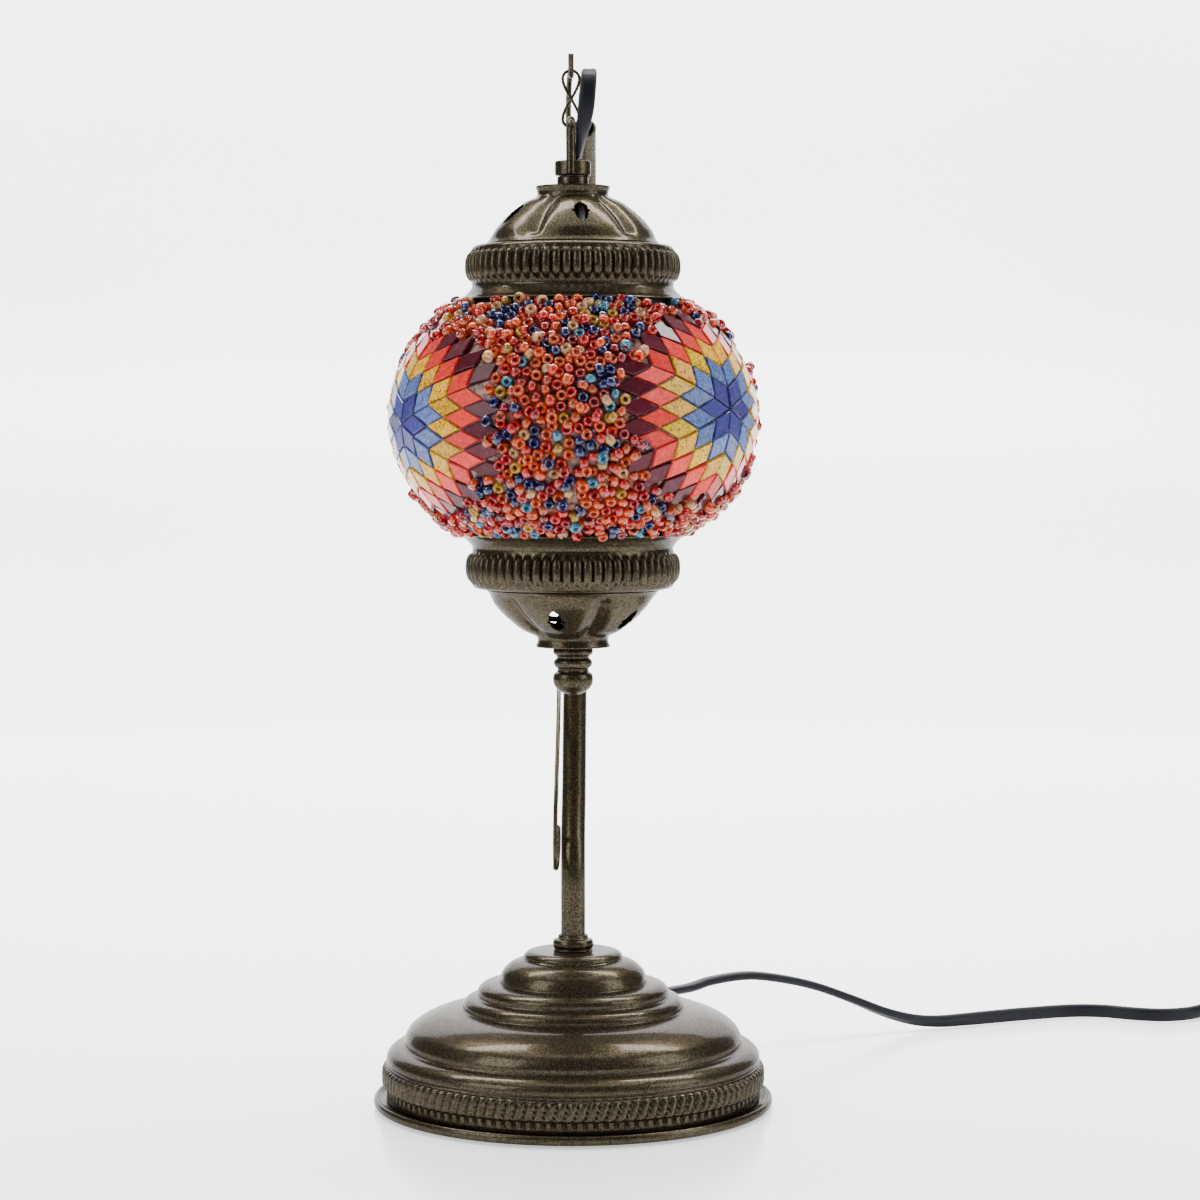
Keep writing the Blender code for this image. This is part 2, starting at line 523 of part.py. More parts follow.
def build_cord():
    bore_start = GLAND_AT + GLAND_DIRECTION * (GLAND_LENGTH - 12.0)
    tip = GLAND_AT + GLAND_DIRECTION * (GLAND_LENGTH + 2.0)
    swept("cord_run", smooth_route([bore_start, tip, *CORD_ROUTE], 11.0), CORD_R, CORD_PVC, 2)
    swept("cord_entry", smooth_route(ENTRY_ROUTE, 7.0), CORD_R, CORD_PVC, 2)
    swept("cord_tail", smooth_route(TAIL_ROUTE, 8.0), CORD_R, CORD_PVC, 2)
    inner, outer = COIL_R
    low, high = COIL_Z
    coil = ring("cord_coil", inner, outer, low, high, BIG_STEPS, CORD_PVC)
    coil.location = COIL_CENTRE * MM
    strap_inner = (COIL_CENTRE.x - outer - 0.4, COIL_CENTRE.x - inner + 1.0)
    y = COIL_CENTRE.y
    strap = block("coil_tie", (strap_inner[0] - 0.45, y - 4.0, 0.05), (strap_inner[1] + 0.45, y + 4.0, 12.95),
                  HARD_PLASTIC)
    hollow = block("coil_tie_inside", (strap_inner[0], y - 6.0, 0.5), (strap_inner[1], y + 6.0, 12.5),
                   HARD_PLASTIC, group=CUTTERS)
    combine(strap, hollow, "DIFFERENCE")


def build_switch():
    x = SWITCH_X
    y0, y1 = SWITCH_Y
    middle = (y0 + y1) / 2
    wide = SWITCH_HALF_WIDTH
    base = block("switch_base", (x - wide, y0, 0.0), (x + wide, y1, SWITCH_SPLIT_Z), HARD_PLASTIC, 1.0)
    cover = block("switch_cover", (x - wide, y0, SWITCH_SPLIT_Z + GAP), (x + wide, y1, SWITCH_TOP_Z),
                  HARD_PLASTIC, 1.0)
    inside = block("switch_inside", (x - wide + 2.0, y0 + 3.0, 2.0), (x + wide - 2.0, y1 - 3.0, 11.2),
                   HARD_PLASTIC, group=CUTTERS)
    combine(base, inside, "DIFFERENCE")
    combine(cover, inside, "DIFFERENCE")
    window = block("rocker_window", (x - 5.6, middle - 9.4, 8.0), (x + 5.6, middle + 9.4, 16.0), HARD_PLASTIC,
                   group=CUTTERS)
    combine(cover, window, "DIFFERENCE")
    pivot = Vector((x, middle, ROCKER_PIVOT_Z)) * MM
    rocker = block("switch_rocker", (-5.0, -8.4, -2.8), (5.0, 8.4, 3.6), HARD_PLASTIC, 0.6)
    rocker.location = pivot
    rocker.rotation_euler = (math.radians(-6.0), 0.0, 0.0)


def build_plug():
    low, high = PLUG_Y
    body = block("plug_body", (SWITCH_X - 13.0, low, 0.2), (SWITCH_X + 13.0, high, 13.9), HARD_PLASTIC, 3.0)
    combine(body, block("plug_face", (SWITCH_X - 20.0, low - 9.0, -5.0), (SWITCH_X + 20.0, low + 3.0, 20.0),
                        HARD_PLASTIC, group=CUTTERS), "DIFFERENCE")
    boot_profile = [(3.7, BOOT_LENGTH), (4.9, 0.0), (3.1, 0.0), (3.1, BOOT_LENGTH)]
    boot = turned("plug_boot", boot_profile, SMALL_STEPS, RUBBER)
    boot.rotation_euler = (math.radians(-90.0), 0.0, 0.0)
    boot.location = Vector((SWITCH_X, high + GAP, 7.0)) * MM
    for side, name in ((-1, "plug_pin_left"), (1, "plug_pin_right")):
        pin = cylinder(name, 2.0, 0.0, 19.0, 12, STEEL)
        pin.rotation_euler = (math.radians(90.0), 0.0, 0.0)
        pin.location = Vector((SWITCH_X + side * 9.3, low + 3.0 - GAP, 7.0)) * MM


def hang_from(pivot_name, place_mm, names):
    """Parent the pieces of a moving body to an empty on its joint's axis."""
    pivot = bpy.data.objects.new(pivot_name, None)
    pivot.location = Vector(place_mm) * MM
    PARTS.objects.link(pivot)
    for name in names:
        piece = bpy.data.objects[name]
        piece.parent = pivot
        piece.matrix_parent_inverse = Matrix.Translation(-pivot.location)


build_base()
build_gland()
build_neck()
build_suspension()
build_cap("top_cap", NIPPLE_R + GAP, 1)
build_cap("bottom_cap", 2.3, -1)
build_globe()
build_lampholder()
build_bulb()
build_harp()
build_finial()
build_cord()
build_switch()
build_plug()

LANTERN = [
    "hanging_collar", "lock_ring", "top_cap", "bottom_cap", "globe_glass", "mosaic_skin", "top_gasket",
    "bottom_gasket", "centre_nipple", "cap_nut", "socket_shell", "socket_insulator", "screw_shell",
    "centre_contact", "bulb_cap", "bulb_glass", "bulb_stem", "harp_frame", "finial_stud", "stud_nut", "finial",
    "socket_lead",
]
hang_from("link_pivot", (HANG_X, 0.0, HOOK_SADDLE_Z), ["figure8_link"])
hang_from("lantern_pivot", (HANG_X, 0.0, LINK_BOTTOM_Z), LANTERN)
for piece in PARTS.objects:
    if piece.type == "MESH":
        piece.data.shade_smooth()
        piece.data.set_sharp_from_angle(angle=math.radians(35.0))
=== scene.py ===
"""Looks of the mosaic glass table lamp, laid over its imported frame.

Lengths are in millimetres, in the lamp's own frame, and are turned into metres as each mesh is
made. The front of the lamp is -Y and +X is to the right.
"""
import math
import random

import bmesh
import bpy
from mathutils import Matrix, Vector
from mathutils.kdtree import KDTree


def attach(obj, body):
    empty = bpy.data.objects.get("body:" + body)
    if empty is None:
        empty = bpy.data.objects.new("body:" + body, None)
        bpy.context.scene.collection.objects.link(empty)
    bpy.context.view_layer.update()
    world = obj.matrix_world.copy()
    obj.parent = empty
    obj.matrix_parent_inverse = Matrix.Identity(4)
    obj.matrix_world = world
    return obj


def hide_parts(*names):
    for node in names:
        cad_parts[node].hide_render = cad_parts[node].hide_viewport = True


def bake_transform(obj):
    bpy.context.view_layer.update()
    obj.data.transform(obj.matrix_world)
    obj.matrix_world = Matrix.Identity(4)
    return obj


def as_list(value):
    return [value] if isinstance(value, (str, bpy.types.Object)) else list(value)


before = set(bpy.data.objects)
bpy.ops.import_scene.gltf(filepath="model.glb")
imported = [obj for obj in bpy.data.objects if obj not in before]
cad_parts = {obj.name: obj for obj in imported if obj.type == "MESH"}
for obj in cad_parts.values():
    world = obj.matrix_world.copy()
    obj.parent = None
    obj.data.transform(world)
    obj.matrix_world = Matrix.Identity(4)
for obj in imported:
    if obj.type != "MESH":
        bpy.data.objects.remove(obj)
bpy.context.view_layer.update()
MM = 0.001

# The lantern's globe and caps
GLOBE_Z = 243.05
BED_A = 63.0  # half width and half height of the clear globe that the mosaic is glued on
BED_B = 48.7
GLOBE_WALL = 2.4
GLOBE_MOUTH_R = 34.0
MOSAIC_EDGE_R = 40.2
LEAF_COUNT = 5
LEAF_FIRST_DEG = -82.0
LOWER_LEAF_TURN_DEG = -22.5

# Mosaic: three six-pointed stars of diamond tiles, with seed beads between them
STARS = [(56.0, 3.1, 178.0), (-63.8, -2.6, -5.0), (176.0, 0.0, 4.0)]  # azimuth, elevation, turn
STAR_MAP_R = 58.0
TILE_PITCH = 8.42  # side of the diamonds' lattice
TILE_GAP = 0.32
TILE_THICK = 2.0
BEAD_R = 2.06
BEAD_HOLE_R = 0.7
BEAD_LENGTH = 2.7
BED_BEADS = 1240  # lying on the glass
TOP_BEADS = 300  # caught on top of those

# Suspension
HANG_X = -0.6
HOOK_R = 1.0
LINK_R = 0.55
LINK_TOP_Z = 363.75
LINK_BOTTOM_Z = 344.2
BAIL_R = 1.5
BAIL_REACH = 6.1
BAIL_TOP_Z = 346.55
TUBE_R = 4.3
TUBE_BORE_R = 3.5

# Mains cord
CORD_WIDE = 5.4
CORD_THIN = 3.2
GLAND_AT = Vector((20.0, 62.4, 17.0))
GLAND_LENGTH = 22.0
GLAND_DIRECTION = Vector((0.449, 0.844, 0.292)).normalized()
SWITCH_X = 333.0
SWITCH_Y = (204.0, 266.0)
COIL_CENTRE = Vector((300.0, 170.0, 0.0))
COIL_OUTER_TURN_R = 33.3
COIL_PITCH = 3.5
COIL_LAYERS_Z = (3.6, 9.3)
PLUG_Y = (20.0, 52.0)
PLUG_Z = 7.0

CORD_ROUTE = [
    (44.2, 98.0, 24.2), (52.9, 104.0, 25.9), (66.8, 110.0, 26.8), (80.3, 116.0, 24.5),
    (94.1, 122.0, 20.5), (107.9, 127.5, 14.8), (122.3, 133.0, 8.2), (133.8, 137.5, 4.4),
    (144.2, 141.5, 2.9), (155.1, 145.8, 2.8), (165.8, 150.8, 2.8), (180.8, 157.7, 2.8),
    (200.0, 164.6, 2.8), (213.2, 164.6, 2.8), (222.0, 160.2, 2.8), (228.5, 157.2, 2.8),
    (236.0, 155.5, 2.8), (243.5, 156.8, 2.8), (250.1, 160.7, 2.8), (255.0, 166.5, 2.8),
    (257.7, 173.7, 2.8), (260.6, 182.5, 2.8), (264.8, 192.0, 2.8), (270.0, 202.0, 2.8),
    (275.0, 213.0, 2.8), (278.3, 226.0, 2.8), (279.8, 241.0, 2.8), (280.3, 257.0, 2.8),
    (280.9, 273.0, 2.8), (284.2, 286.8, 2.8), (293.4, 297.4, 2.8), (306.6, 301.2, 2.8),
    (319.6, 297.4, 2.8), (329.2, 287.4, 3.6), (332.7, 277.0, 5.2), (333.0, 266.8, 6.2),
]
ENTRY_ROUTE = [(333.0, 203.2, 6.2), (333.1, 196.0, 5.0), (333.3, 188.8, 3.8), (333.3, 179.0, 3.6)]
TAIL_ROUTE = [
    (336.8, 162.0, 9.1), (336.3, 154.0, 8.6), (335.4, 141.0, 5.8), (334.6, 127.0, 3.2),
    (334.2, 112.0, 2.8), (333.7, 98.0, 3.4), (333.2, 84.0, 5.8), (333.0, 71.0, 7.0),
]
NECK_ROUTE = [
    (0.0, 0.0, 2.4), (0.0, 0.0, 30.0), (0.0, 0.0, 60.0), (0.0, 0.0, 84.0), (0.0, 4.6, 96.0),
    (0.2, 16.0, 112.0), (0.3, 34.0, 136.0), (0.6, 55.0, 162.0), (1.2, 74.0, 192.0),
    (2.0, 83.0, 222.0), (2.8, 84.0, 252.0), (3.4, 79.0, 282.0), (3.8, 66.0, 310.0),
    (3.8, 46.0, 333.0), (3.8, 27.0, 346.5),
]
HOOK_ROUTE = [
    (-1.8, 50.0, 329.2), (-1.8, 38.0, 339.3), (-1.8, 27.0, 346.7), (-1.7, 19.0, 353.0),
    (-1.4, 12.0, 359.6), (-1.1, 8.0, 363.0), (-0.9, 5.2, 364.0), (-0.7, 2.6, 363.0),
    (HANG_X, 0.0, 361.9), (HANG_X, -2.6, 363.2), (HANG_X, -4.4, 365.8), (HANG_X, -5.4, 369.0),
]
SCROLL_ROUTE = [
    (-5.5, 42.0, 145.6), (-5.5, 30.0, 137.6), (-5.6, 14.0, 127.0), (-5.8, -2.0, 116.0),
    (-6.0, -13.0, 106.0), (-6.1, -18.6, 96.0), (-6.1, -16.4, 88.4), (-6.0, -9.6, 85.6),
    (-5.7, -3.6, 88.6), (-5.5, -1.6, 94.4), (-5.5, -5.0, 99.0), (-5.6, -9.8, 98.0),
    (-5.7, -11.0, 93.6),
]
LOOP_ROUTE = [
    (3.8, 31.0, 343.7), (3.9, 24.0, 348.8), (4.4, 17.0, 354.2), (5.0, 10.0, 359.4),
    (5.5, 4.0, 362.6), (5.7, -1.5, 363.2), (5.7, -6.0, 360.8), (5.4, -8.2, 356.0),
    (4.9, -8.0, 350.5), (3.8, -5.5, 344.5), (2.8, -2.6, 339.0), (1.9, -0.9, 335.0),
    (1.3, -0.2, 333.4),
]
LOOP_SEAM = 6  # the route's point over the hook, where the loop's two halves meet


# ---------------------------------------------------------------- camera

def build_camera():
    camera = bpy.data.objects.new("camera", bpy.data.cameras.new("camera"))
    bpy.context.collection.objects.link(camera)
    camera.location = (0.0095, -1.1, 0.237)
    camera.rotation_euler = (math.radians(90.0 - 3.02), 0.0, 0.0)
    camera.data.lens = 93.96
    camera.data.clip_start = 0.05
    bpy.context.scene.camera = camera


# ---------------------------------------------------------------- mesh tools

def smoothstep(value, low, high):
    share = min(max((value - low) / (high - low), 0.0), 1.0)
    return share * share * (3.0 - 2.0 * share)


def face_outward(form):
    bmesh.ops.recalc_face_normals(form, faces=form.faces)


def link_mesh(name, form, mats, angle=35.0):
    """A new object from a bmesh in millimetres, with faces smooth up to an angle."""
    bmesh.ops.scale(form, vec=(MM, MM, MM), verts=form.verts)
    mesh = bpy.data.meshes.new(name)
    form.to_mesh(mesh)
    form.free()
    for mat in mats if isinstance(mats, (list, tuple)) else [mats]:
        mesh.materials.append(mat)
    mesh.shade_smooth()
    mesh.set_sharp_from_angle(angle=math.radians(angle))
    obj = bpy.data.objects.new(name, mesh)
    bpy.context.collection.objects.link(obj)
    return obj


def bronze(obj, body, *nodes):
    return finish_piece(obj, body, "bronze_paint", *nodes)


def finish_piece(obj, body, slot, *nodes):
    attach(obj, body)
    if nodes:
        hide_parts(*nodes)
    return obj


def rounded(corners, steps=4):
    """A profile whose corners (r, z, cut) are rounded, each cut back by its third number."""
    points = []
    last = len(corners) - 1
    for k, (r, z, cut) in enumerate(corners):
        here = Vector((r, z))
        if k in (0, last) or cut == 0.0:
            points.append((r, z))
            continue
        before = Vector(corners[k - 1][:2]) - here
        after = Vector(corners[k + 1][:2]) - here
        start = here + before.normalized() * min(cut, before.length * 0.48)
        end = here + after.normalized() * min(cut, after.length * 0.48)
        for step in range(steps + 1):
            t = step / steps
            dot = start * (1 - t) ** 2 + here * 2 * t * (1 - t) + end * t * t
            points.append((dot.x, dot.y))
    return points


def grid_faces(form, rows, wrap_rows=False):
    """Faces between neighbouring rings of vertices; a ring of one vertex is a pole."""
    pairs = list(zip(rows, rows[1:]))
    if wrap_rows:
        pairs.append((rows[-1], rows[0]))
    for upper, lower in pairs:
        count = max(len(upper), len(lower))
        for k in range(count):
            after = (k + 1) % count
            corners = [upper[k % len(upper)], lower[k % len(lower)],
                       lower[after % len(lower)], upper[after % len(upper)]]
            corners = list(dict.fromkeys(corners))
            if len(corners) > 2:
                form.faces.new(corners)


def lathe(form, points, steps, closed=False, warp=None):
    """Turn (r, z) points, listed down the outer side, round Z; warp changes each (angle, r, z)."""
    rows = []
    for r, z in points:
        if r < 0.001:
            rows.append([form.verts.new((0.0, 0.0, z))])
            continue
        row = []
        for k in range(steps):
            angle = 2 * math.pi * k / steps
            here_r, here_z = warp(angle, r, z) if warp else (r, z)
            row.append(form.verts.new((here_r * math.cos(angle), here_r * math.sin(angle), here_z)))
        rows.append(row)
    grid_faces(form, rows, closed)


def turned(name, points, steps, mat, closed=True, warp=None, angle=35.0):
    form = bmesh.new()
    lathe(form, points, steps, closed, warp)
    return link_mesh(name, form, mat, angle)


def smooth_route(points, spacing):
    """Points every `spacing` or so along a smooth curve through the given points."""
    dots = [Vector(p) for p in points]
    padded = [2 * dots[0] - dots[1], *dots, 2 * dots[-1] - dots[-2]]
    route = []
    for before, start, end, after in zip(padded, padded[1:], padded[2:], padded[3:]):
        pieces = max(1, round((end - start).length / spacing))
        for step in range(pieces):
            t = step / pieces
            bend_in = 2 * before - 5 * start + 4 * end - after
            bend_out = 3 * start - before - 3 * end + after
            route.append(start + 0.5 * (t * (end - before) + t * t * bend_in + t**3 * bend_out))
    route.append(dots[-1])
    return route


def route_length(route):
    return sum((b - a).length for a, b in zip(route, route[1:]))


def tangents(route, closed=False):
    count = len(route)
    if closed:
        return [(route[(k + 1) % count] - route[k - 1]).normalized() for k in range(count)]
    return [(route[min(k + 1, count - 1)] - route[max(k - 1, 0)]).normalized()
            for k in range(count)]


def carried_sides(ways, first):
    """A side direction for each tangent, carried along without twisting."""
    side = first
    sides = []
    for way in ways:
        side = (side - way * side.dot(way)).normalized()
        sides.append(side)
    return sides


def sweep(form, route, outline, wide=None, closed=False, caps=True, taper=None):
    """A section of (across, up) points swept along a route; wide gives its across direction."""
    ways = tangents(route, closed)
    if wide:
        sides = [(w - t * w.dot(t)).normalized() for w, t in zip(wide, ways)]
    else:
        start = Vector((1.0, 0.0, 0.0)) if abs(ways[0].x) < 0.8 else Vector((0.0, 1.0, 0.0))
        sides = carried_sides(ways, start)
    rows = []
    for k, (dot, way, side) in enumerate(zip(route, ways, sides)):
        up = side.cross(way)
        size = taper(k / (len(route) - 1)) if taper else 1.0
        rows.append([form.verts.new(dot + side * (a * size) + up * (b * size))
                     for a, b in outline])
    grid_faces(form, rows, closed)
    if caps and not closed:
        form.faces.new(list(reversed(rows[0])))
        form.faces.new(rows[-1])
    return rows


def soft_square(count, power):
    """Unit points round a shape between a circle (power 1) and a square (power 0)."""
    turns = [2 * math.pi * k / count for k in range(count)]
    return [[math.copysign(abs(f(a)) ** power, f(a)) for f in (math.cos, math.sin)] for a in turns]


def circle(radius, sides):
    return [(radius * math.cos(2 * math.pi * k / sides), radius * math.sin(2 * math.pi * k / sides))
            for k in range(sides)]


def flat_cord(wide, thin):
    """Section of a flat two-core cord: two round lobes with a shallow groove between them."""
    r = thin / 2
    centre = wide / 2 - r
    right = [(centre + r * math.cos(a), r * math.sin(a))
             for a in [math.radians(80 - 20 * k) for k in range(9)]]
    left = [(-x, -y) for x, y in right]
    return [*reversed([*right, (0.0, -0.86 * r), *left, (0.0, 0.86 * r)])]


def rod(name, route, radius, mat, sides=14, closed=False, taper=None):
    form = bmesh.new()
    sweep(form, route, circle(radius, sides), closed=closed, taper=taper)
    face_outward(form)
    return link_mesh(name, form, mat, 50.0)


def rounded_box(form, low, high, edge, segments=3):
    """A box between two corners with rounded edges."""
    low, high = Vector(low), Vector(high)
    made = bmesh.ops.create_cube(form, size=1.0)
    bmesh.ops.scale(form, vec=high - low, verts=made["verts"])
    bmesh.ops.translate(form, vec=(low + high) / 2, verts=made["verts"])
    edges = list({e for v in made["verts"] for e in v.link_edges})
    bmesh.ops.bevel(form, geom=edges, offset=edge, segments=segments, affect="EDGES",
                    profile=0.5, clamp_overlap=True)


# ---------------------------------------------------------------- materials

class Shader:
    """A Principled material whose sockets take numbers or the outputs of other nodes."""

    def __init__(self, name, **fixed):
        self.mat = bpy.data.materials.new(name)
        self.mat.use_nodes = True
        self.tree = self.mat.node_tree
        self.bsdf = self.tree.nodes["Principled BSDF"]
        for socket, value in fixed.items():
            self.bsdf.inputs[socket.replace("_", " ")].default_value = value
        self.coords = self.node("ShaderNodeTexCoord").outputs["Object"]

    def node(self, kind, **settings):
        made = self.tree.nodes.new(kind)
        for key, value in settings.items():
            if hasattr(made, key):
                setattr(made, key, value)
            else:
                made.inputs[key.replace("_", " ")].default_value = value
        return made

    def link(self, output, node, socket):
        self.tree.links.new(output, node.inputs[socket])

    def stretched(self, scale):
        mapping = self.node("ShaderNodeMapping", Scale=scale)
        self.link(self.coords, mapping, "Vector")
        return mapping.outputs["Vector"]

    def noise(self, scale, detail=3.0, coords=None, roughness=0.5):
        made = self.node("ShaderNodeTexNoise", Scale=scale, Detail=detail, Roughness=roughness)
        self.link(coords or self.coords, made, "Vector")
        return made.outputs["Fac"]

    def cells(self, scale, feature="F1", output="Distance"):
        made = self.node("ShaderNodeTexVoronoi", feature=feature, Scale=scale)
        self.link(self.coords, made, "Vector")
        return made.outputs[output]

    def ramp(self, value, *stops):
        made = self.node("ShaderNodeValToRGB")
        elements = made.color_ramp.elements
        while len(elements) < len(stops):
            elements.new(0.5)
        for element, (place, colour) in zip(elements, stops):
            element.position = place
            element.color = (*colour, 1.0) if len(colour) == 3 else colour
        self.link(value, made, "Fac")
        return made.outputs["Color"]

    def mix(self, share, first, second, blend="MIX"):
        made = self.node("ShaderNodeMix", data_type="RGBA", blend_type=blend)
        for value, socket in ((share, made.inputs[0]), (first, made.inputs[6]),
                              (second, made.inputs[7])):
            if isinstance(value, bpy.types.NodeSocket):
                self.tree.links.new(value, socket)
            elif isinstance(value, (int, float)):
                socket.default_value = value
            else:
                socket.default_value = (*value, 1.0)
        return made.outputs[2]

    def attribute(self, name):
        return self.node("ShaderNodeAttribute", attribute_name=name).outputs["Color"]

    def colour(self, output):
        self.link(output, self.bsdf, "Base Color")

    def roughness(self, value, low, high):
        made = self.node("ShaderNodeMapRange", To_Min=low, To_Max=high)
        self.link(value, made, "Value")
        self.link(made.outputs["Result"], self.bsdf, "Roughness")

    def bump(self, value, depth_mm, after=None):
        made = self.node("ShaderNodeBump", Strength=1.0, Distance=depth_mm * MM)
        self.link(value, made, "Height")
        if after:
            self.link(after, made, "Normal")
        self.link(made.outputs["Normal"], self.bsdf, "Normal")
        return made.outputs["Normal"]


def bronze_paint():
    """Dark olive-bronze lacquer full of fine gold flake, under a clear gloss coat."""
    s = Shader("bronze_paint", Metallic=0.75, Coat_Weight=0.16, Coat_Roughness=0.05,
               Specular_IOR_Level=0.3, Specular_Tint=(0.3, 0.28, 0.24, 1.0))
    cloud = s.noise(45.0, 4.0)
    base = s.ramp(cloud, (0.3, (0.012, 0.0105, 0.007)), (0.7, (0.022, 0.019, 0.0125)))
    flake = s.cells(3300.0, output="Color")
    speck = s.ramp(flake, (0.35, (0.0, 0.0, 0.0)), (0.95, (0.8, 0.8, 0.8)))
    base = s.mix(speck, base, (0.125, 0.094, 0.048))
    s.colour(base)
    s.roughness(s.noise(1900.0, 2.0), 0.24, 0.4)
    lines = s.noise(1.0, 2.0, s.stretched((14.0, 14.0, 900.0)))
    first = s.bump(lines, 0.012)
    s.bump(s.noise(2300.0, 2.0), 0.012, first)
    return s.mat


def clear_glass(name, tint, roughness=0.02):
    s = Shader(name, Transmission_Weight=0.92, IOR=1.5)
    s.colour(s.ramp(s.noise(30.0), (0.3, tint), (0.8, tuple(min(1.0, c * 1.04) for c in tint))))
    s.roughness(s.noise(60.0), roughness, roughness + 0.05)
    s.bump(s.noise(25.0), 0.05)
    return s.mat


def glue():
    """Clear glue between the tiles and beads, uneven and faintly milky, with its colour darkened in
    patches as painted shade for the gaps between the beads.
    """
    s = Shader("glue_with_painted_gap_shade", Transmission_Weight=0.25, IOR=1.4)
    # The near-black end of this ramp is painted shade in the gaps between the beads; the pale end is
    # the glue's milky tint.
    s.colour(s.ramp(s.noise(420.0, 4.0), (0.4, (0.05, 0.008, 0.006)), (0.62, (0.42, 0.2, 0.14))))
    s.roughness(s.noise(90.0), 0.12, 0.4)
    s.bump(s.noise(420.0, 3.0), 0.25)
    return s.mat


def tile_glass():
    """Cast coloured glass; the tint is each tile's own, broken up by a fine mottled crackle."""
    s = Shader("tile_glass", Coat_Weight=0.12, Coat_Roughness=0.04, IOR=1.3,
               Transmission_Weight=0.1, Specular_IOR_Level=0.3)
    tint = s.attribute("tint")
    mottle = s.attribute("mottle")
    veins = s.ramp(s.noise(1100.0, 6.0, roughness=0.72), (0.40, (0.2, 0.19, 0.1)),
                   (0.52, (1.0, 1.0, 1.0)))
    base = s.mix(1.0, tint, s.mix(mottle, (1.0, 1.0, 1.0), veins), "MULTIPLY")
    clouds = s.ramp(s.noise(520.0, 4.0), (0.52, (0.0, 0.0, 0.0)), (0.75, (0.55, 0.55, 0.55)))
    pale = s.mix(0.55, tint, (0.8, 0.42, 0.3))
    s.colour(s.mix(s.mix(1.0, clouds, mottle, "MULTIPLY"), base, pale))
    s.roughness(s.noise(300.0), 0.1, 0.26)
    s.bump(s.noise(260.0, 3.0), 0.03)
    return s.mat


def grout():
    """The colour-stained glue that shows as a line between neighbouring tiles, darkened as painted
    shade in those gaps.
    """
    s = Shader("tile_bedding_with_painted_shade", Specular_IOR_Level=0.3)
    # Multiplying the tile's tint by 0.16 to 0.5 paints the shade in the gaps between the tiles; the
    # tint itself is the glue's stain.
    shade = s.ramp(s.noise(600.0), (0.3, (0.16, 0.16, 0.16)), (0.7, (0.5, 0.5, 0.5)))
    s.colour(s.mix(1.0, s.attribute("tint"), shade, "MULTIPLY"))
    s.roughness(s.noise(300.0), 0.25, 0.5)
    s.bump(s.noise(800.0, 3.0), 0.05)
    return s.mat


def bead_glass():
    """Seed beads: tinted glass, each with its own colour, and slightly uneven."""
    s = Shader("bead_glass", Coat_Weight=0.6, Coat_Roughness=0.02, IOR=1.45,
               Transmission_Weight=0.6, Specular_IOR_Level=0.4)
    tint = s.attribute("tint")
    shade = s.ramp(s.noise(380.0), (0.3, (0.72, 0.72, 0.72)), (0.7, (1.1, 1.1, 1.1)))
    s.colour(s.mix(1.0, tint, shade, "MULTIPLY"))
    s.roughness(s.noise(140.0), 0.05, 0.16)
    s.bump(s.noise(500.0), 0.05)
    return s.mat


def cord_pvc():
    s = Shader("cord_pvc", IOR=1.25)
    s.colour(s.ramp(s.noise(60.0), (0.3, (0.003, 0.0035, 0.006)), (0.7, (0.006, 0.007, 0.011))))
    s.roughness(s.noise(400.0), 0.42, 0.55)
    s.bump(s.noise(900.0, 2.0), 0.03)
    return s.mat


def moulded(name, dark, light, rough=(0.25, 0.45), grain=1400.0, depth=0.02):
    """Moulded plastic, rubber, ceramic or felt, by its colours and the size of its grain."""
    s = Shader(name)
    s.colour(s.ramp(s.noise(80.0, 4.0), (0.3, dark), (0.7, light)))
    s.roughness(s.noise(260.0), *rough)
    s.bump(s.noise(grain, 3.0), depth)
    return s.mat


def bare_metal(name, dark, light, rough=(0.2, 0.4)):
    s = Shader(name, Metallic=1.0)
    s.colour(s.ramp(s.noise(70.0, 4.0), (0.3, dark), (0.7, light)))
    s.roughness(s.noise(500.0, 3.0), *rough)
    s.bump(s.noise(1.0, 2.0, s.stretched((60.0, 60.0, 1500.0))), 0.01)
    return s.mat


def make_materials():
    return {
        "bronze": bronze_paint(),
        "glass": clear_glass("clear_glass", (0.95, 0.96, 0.95)),
        "glue": glue(),
        "tile": tile_glass(),
        "grout": grout(),
        "bead": bead_glass(),
        "cord": cord_pvc(),
        "steel": bare_metal("plated_steel", (0.2, 0.195, 0.185), (0.34, 0.335, 0.32), (0.3, 0.5)),
        "brass": bare_metal("brass", (0.55, 0.38, 0.15), (0.8, 0.6, 0.28)),
        "iron": moulded("cast_iron", (0.05, 0.05, 0.05), (0.12, 0.11, 0.1), (0.6, 0.85), 700.0, 0.15),
        "felt": moulded("felt", (0.02, 0.03, 0.022), (0.05, 0.065, 0.05), (0.9, 1.0), 2600.0, 0.3),
        "plastic": moulded("black_plastic", (0.008, 0.008, 0.01), (0.02, 0.02, 0.023)),
        "rubber": moulded("black_rubber", (0.012, 0.012, 0.012), (0.03, 0.03, 0.03), (0.5, 0.7)),
        "ceramic": moulded("white_ceramic", (0.78, 0.76, 0.7), (0.9, 0.88, 0.84), (0.15, 0.3)),
    }


# ---------------------------------------------------------------- cords

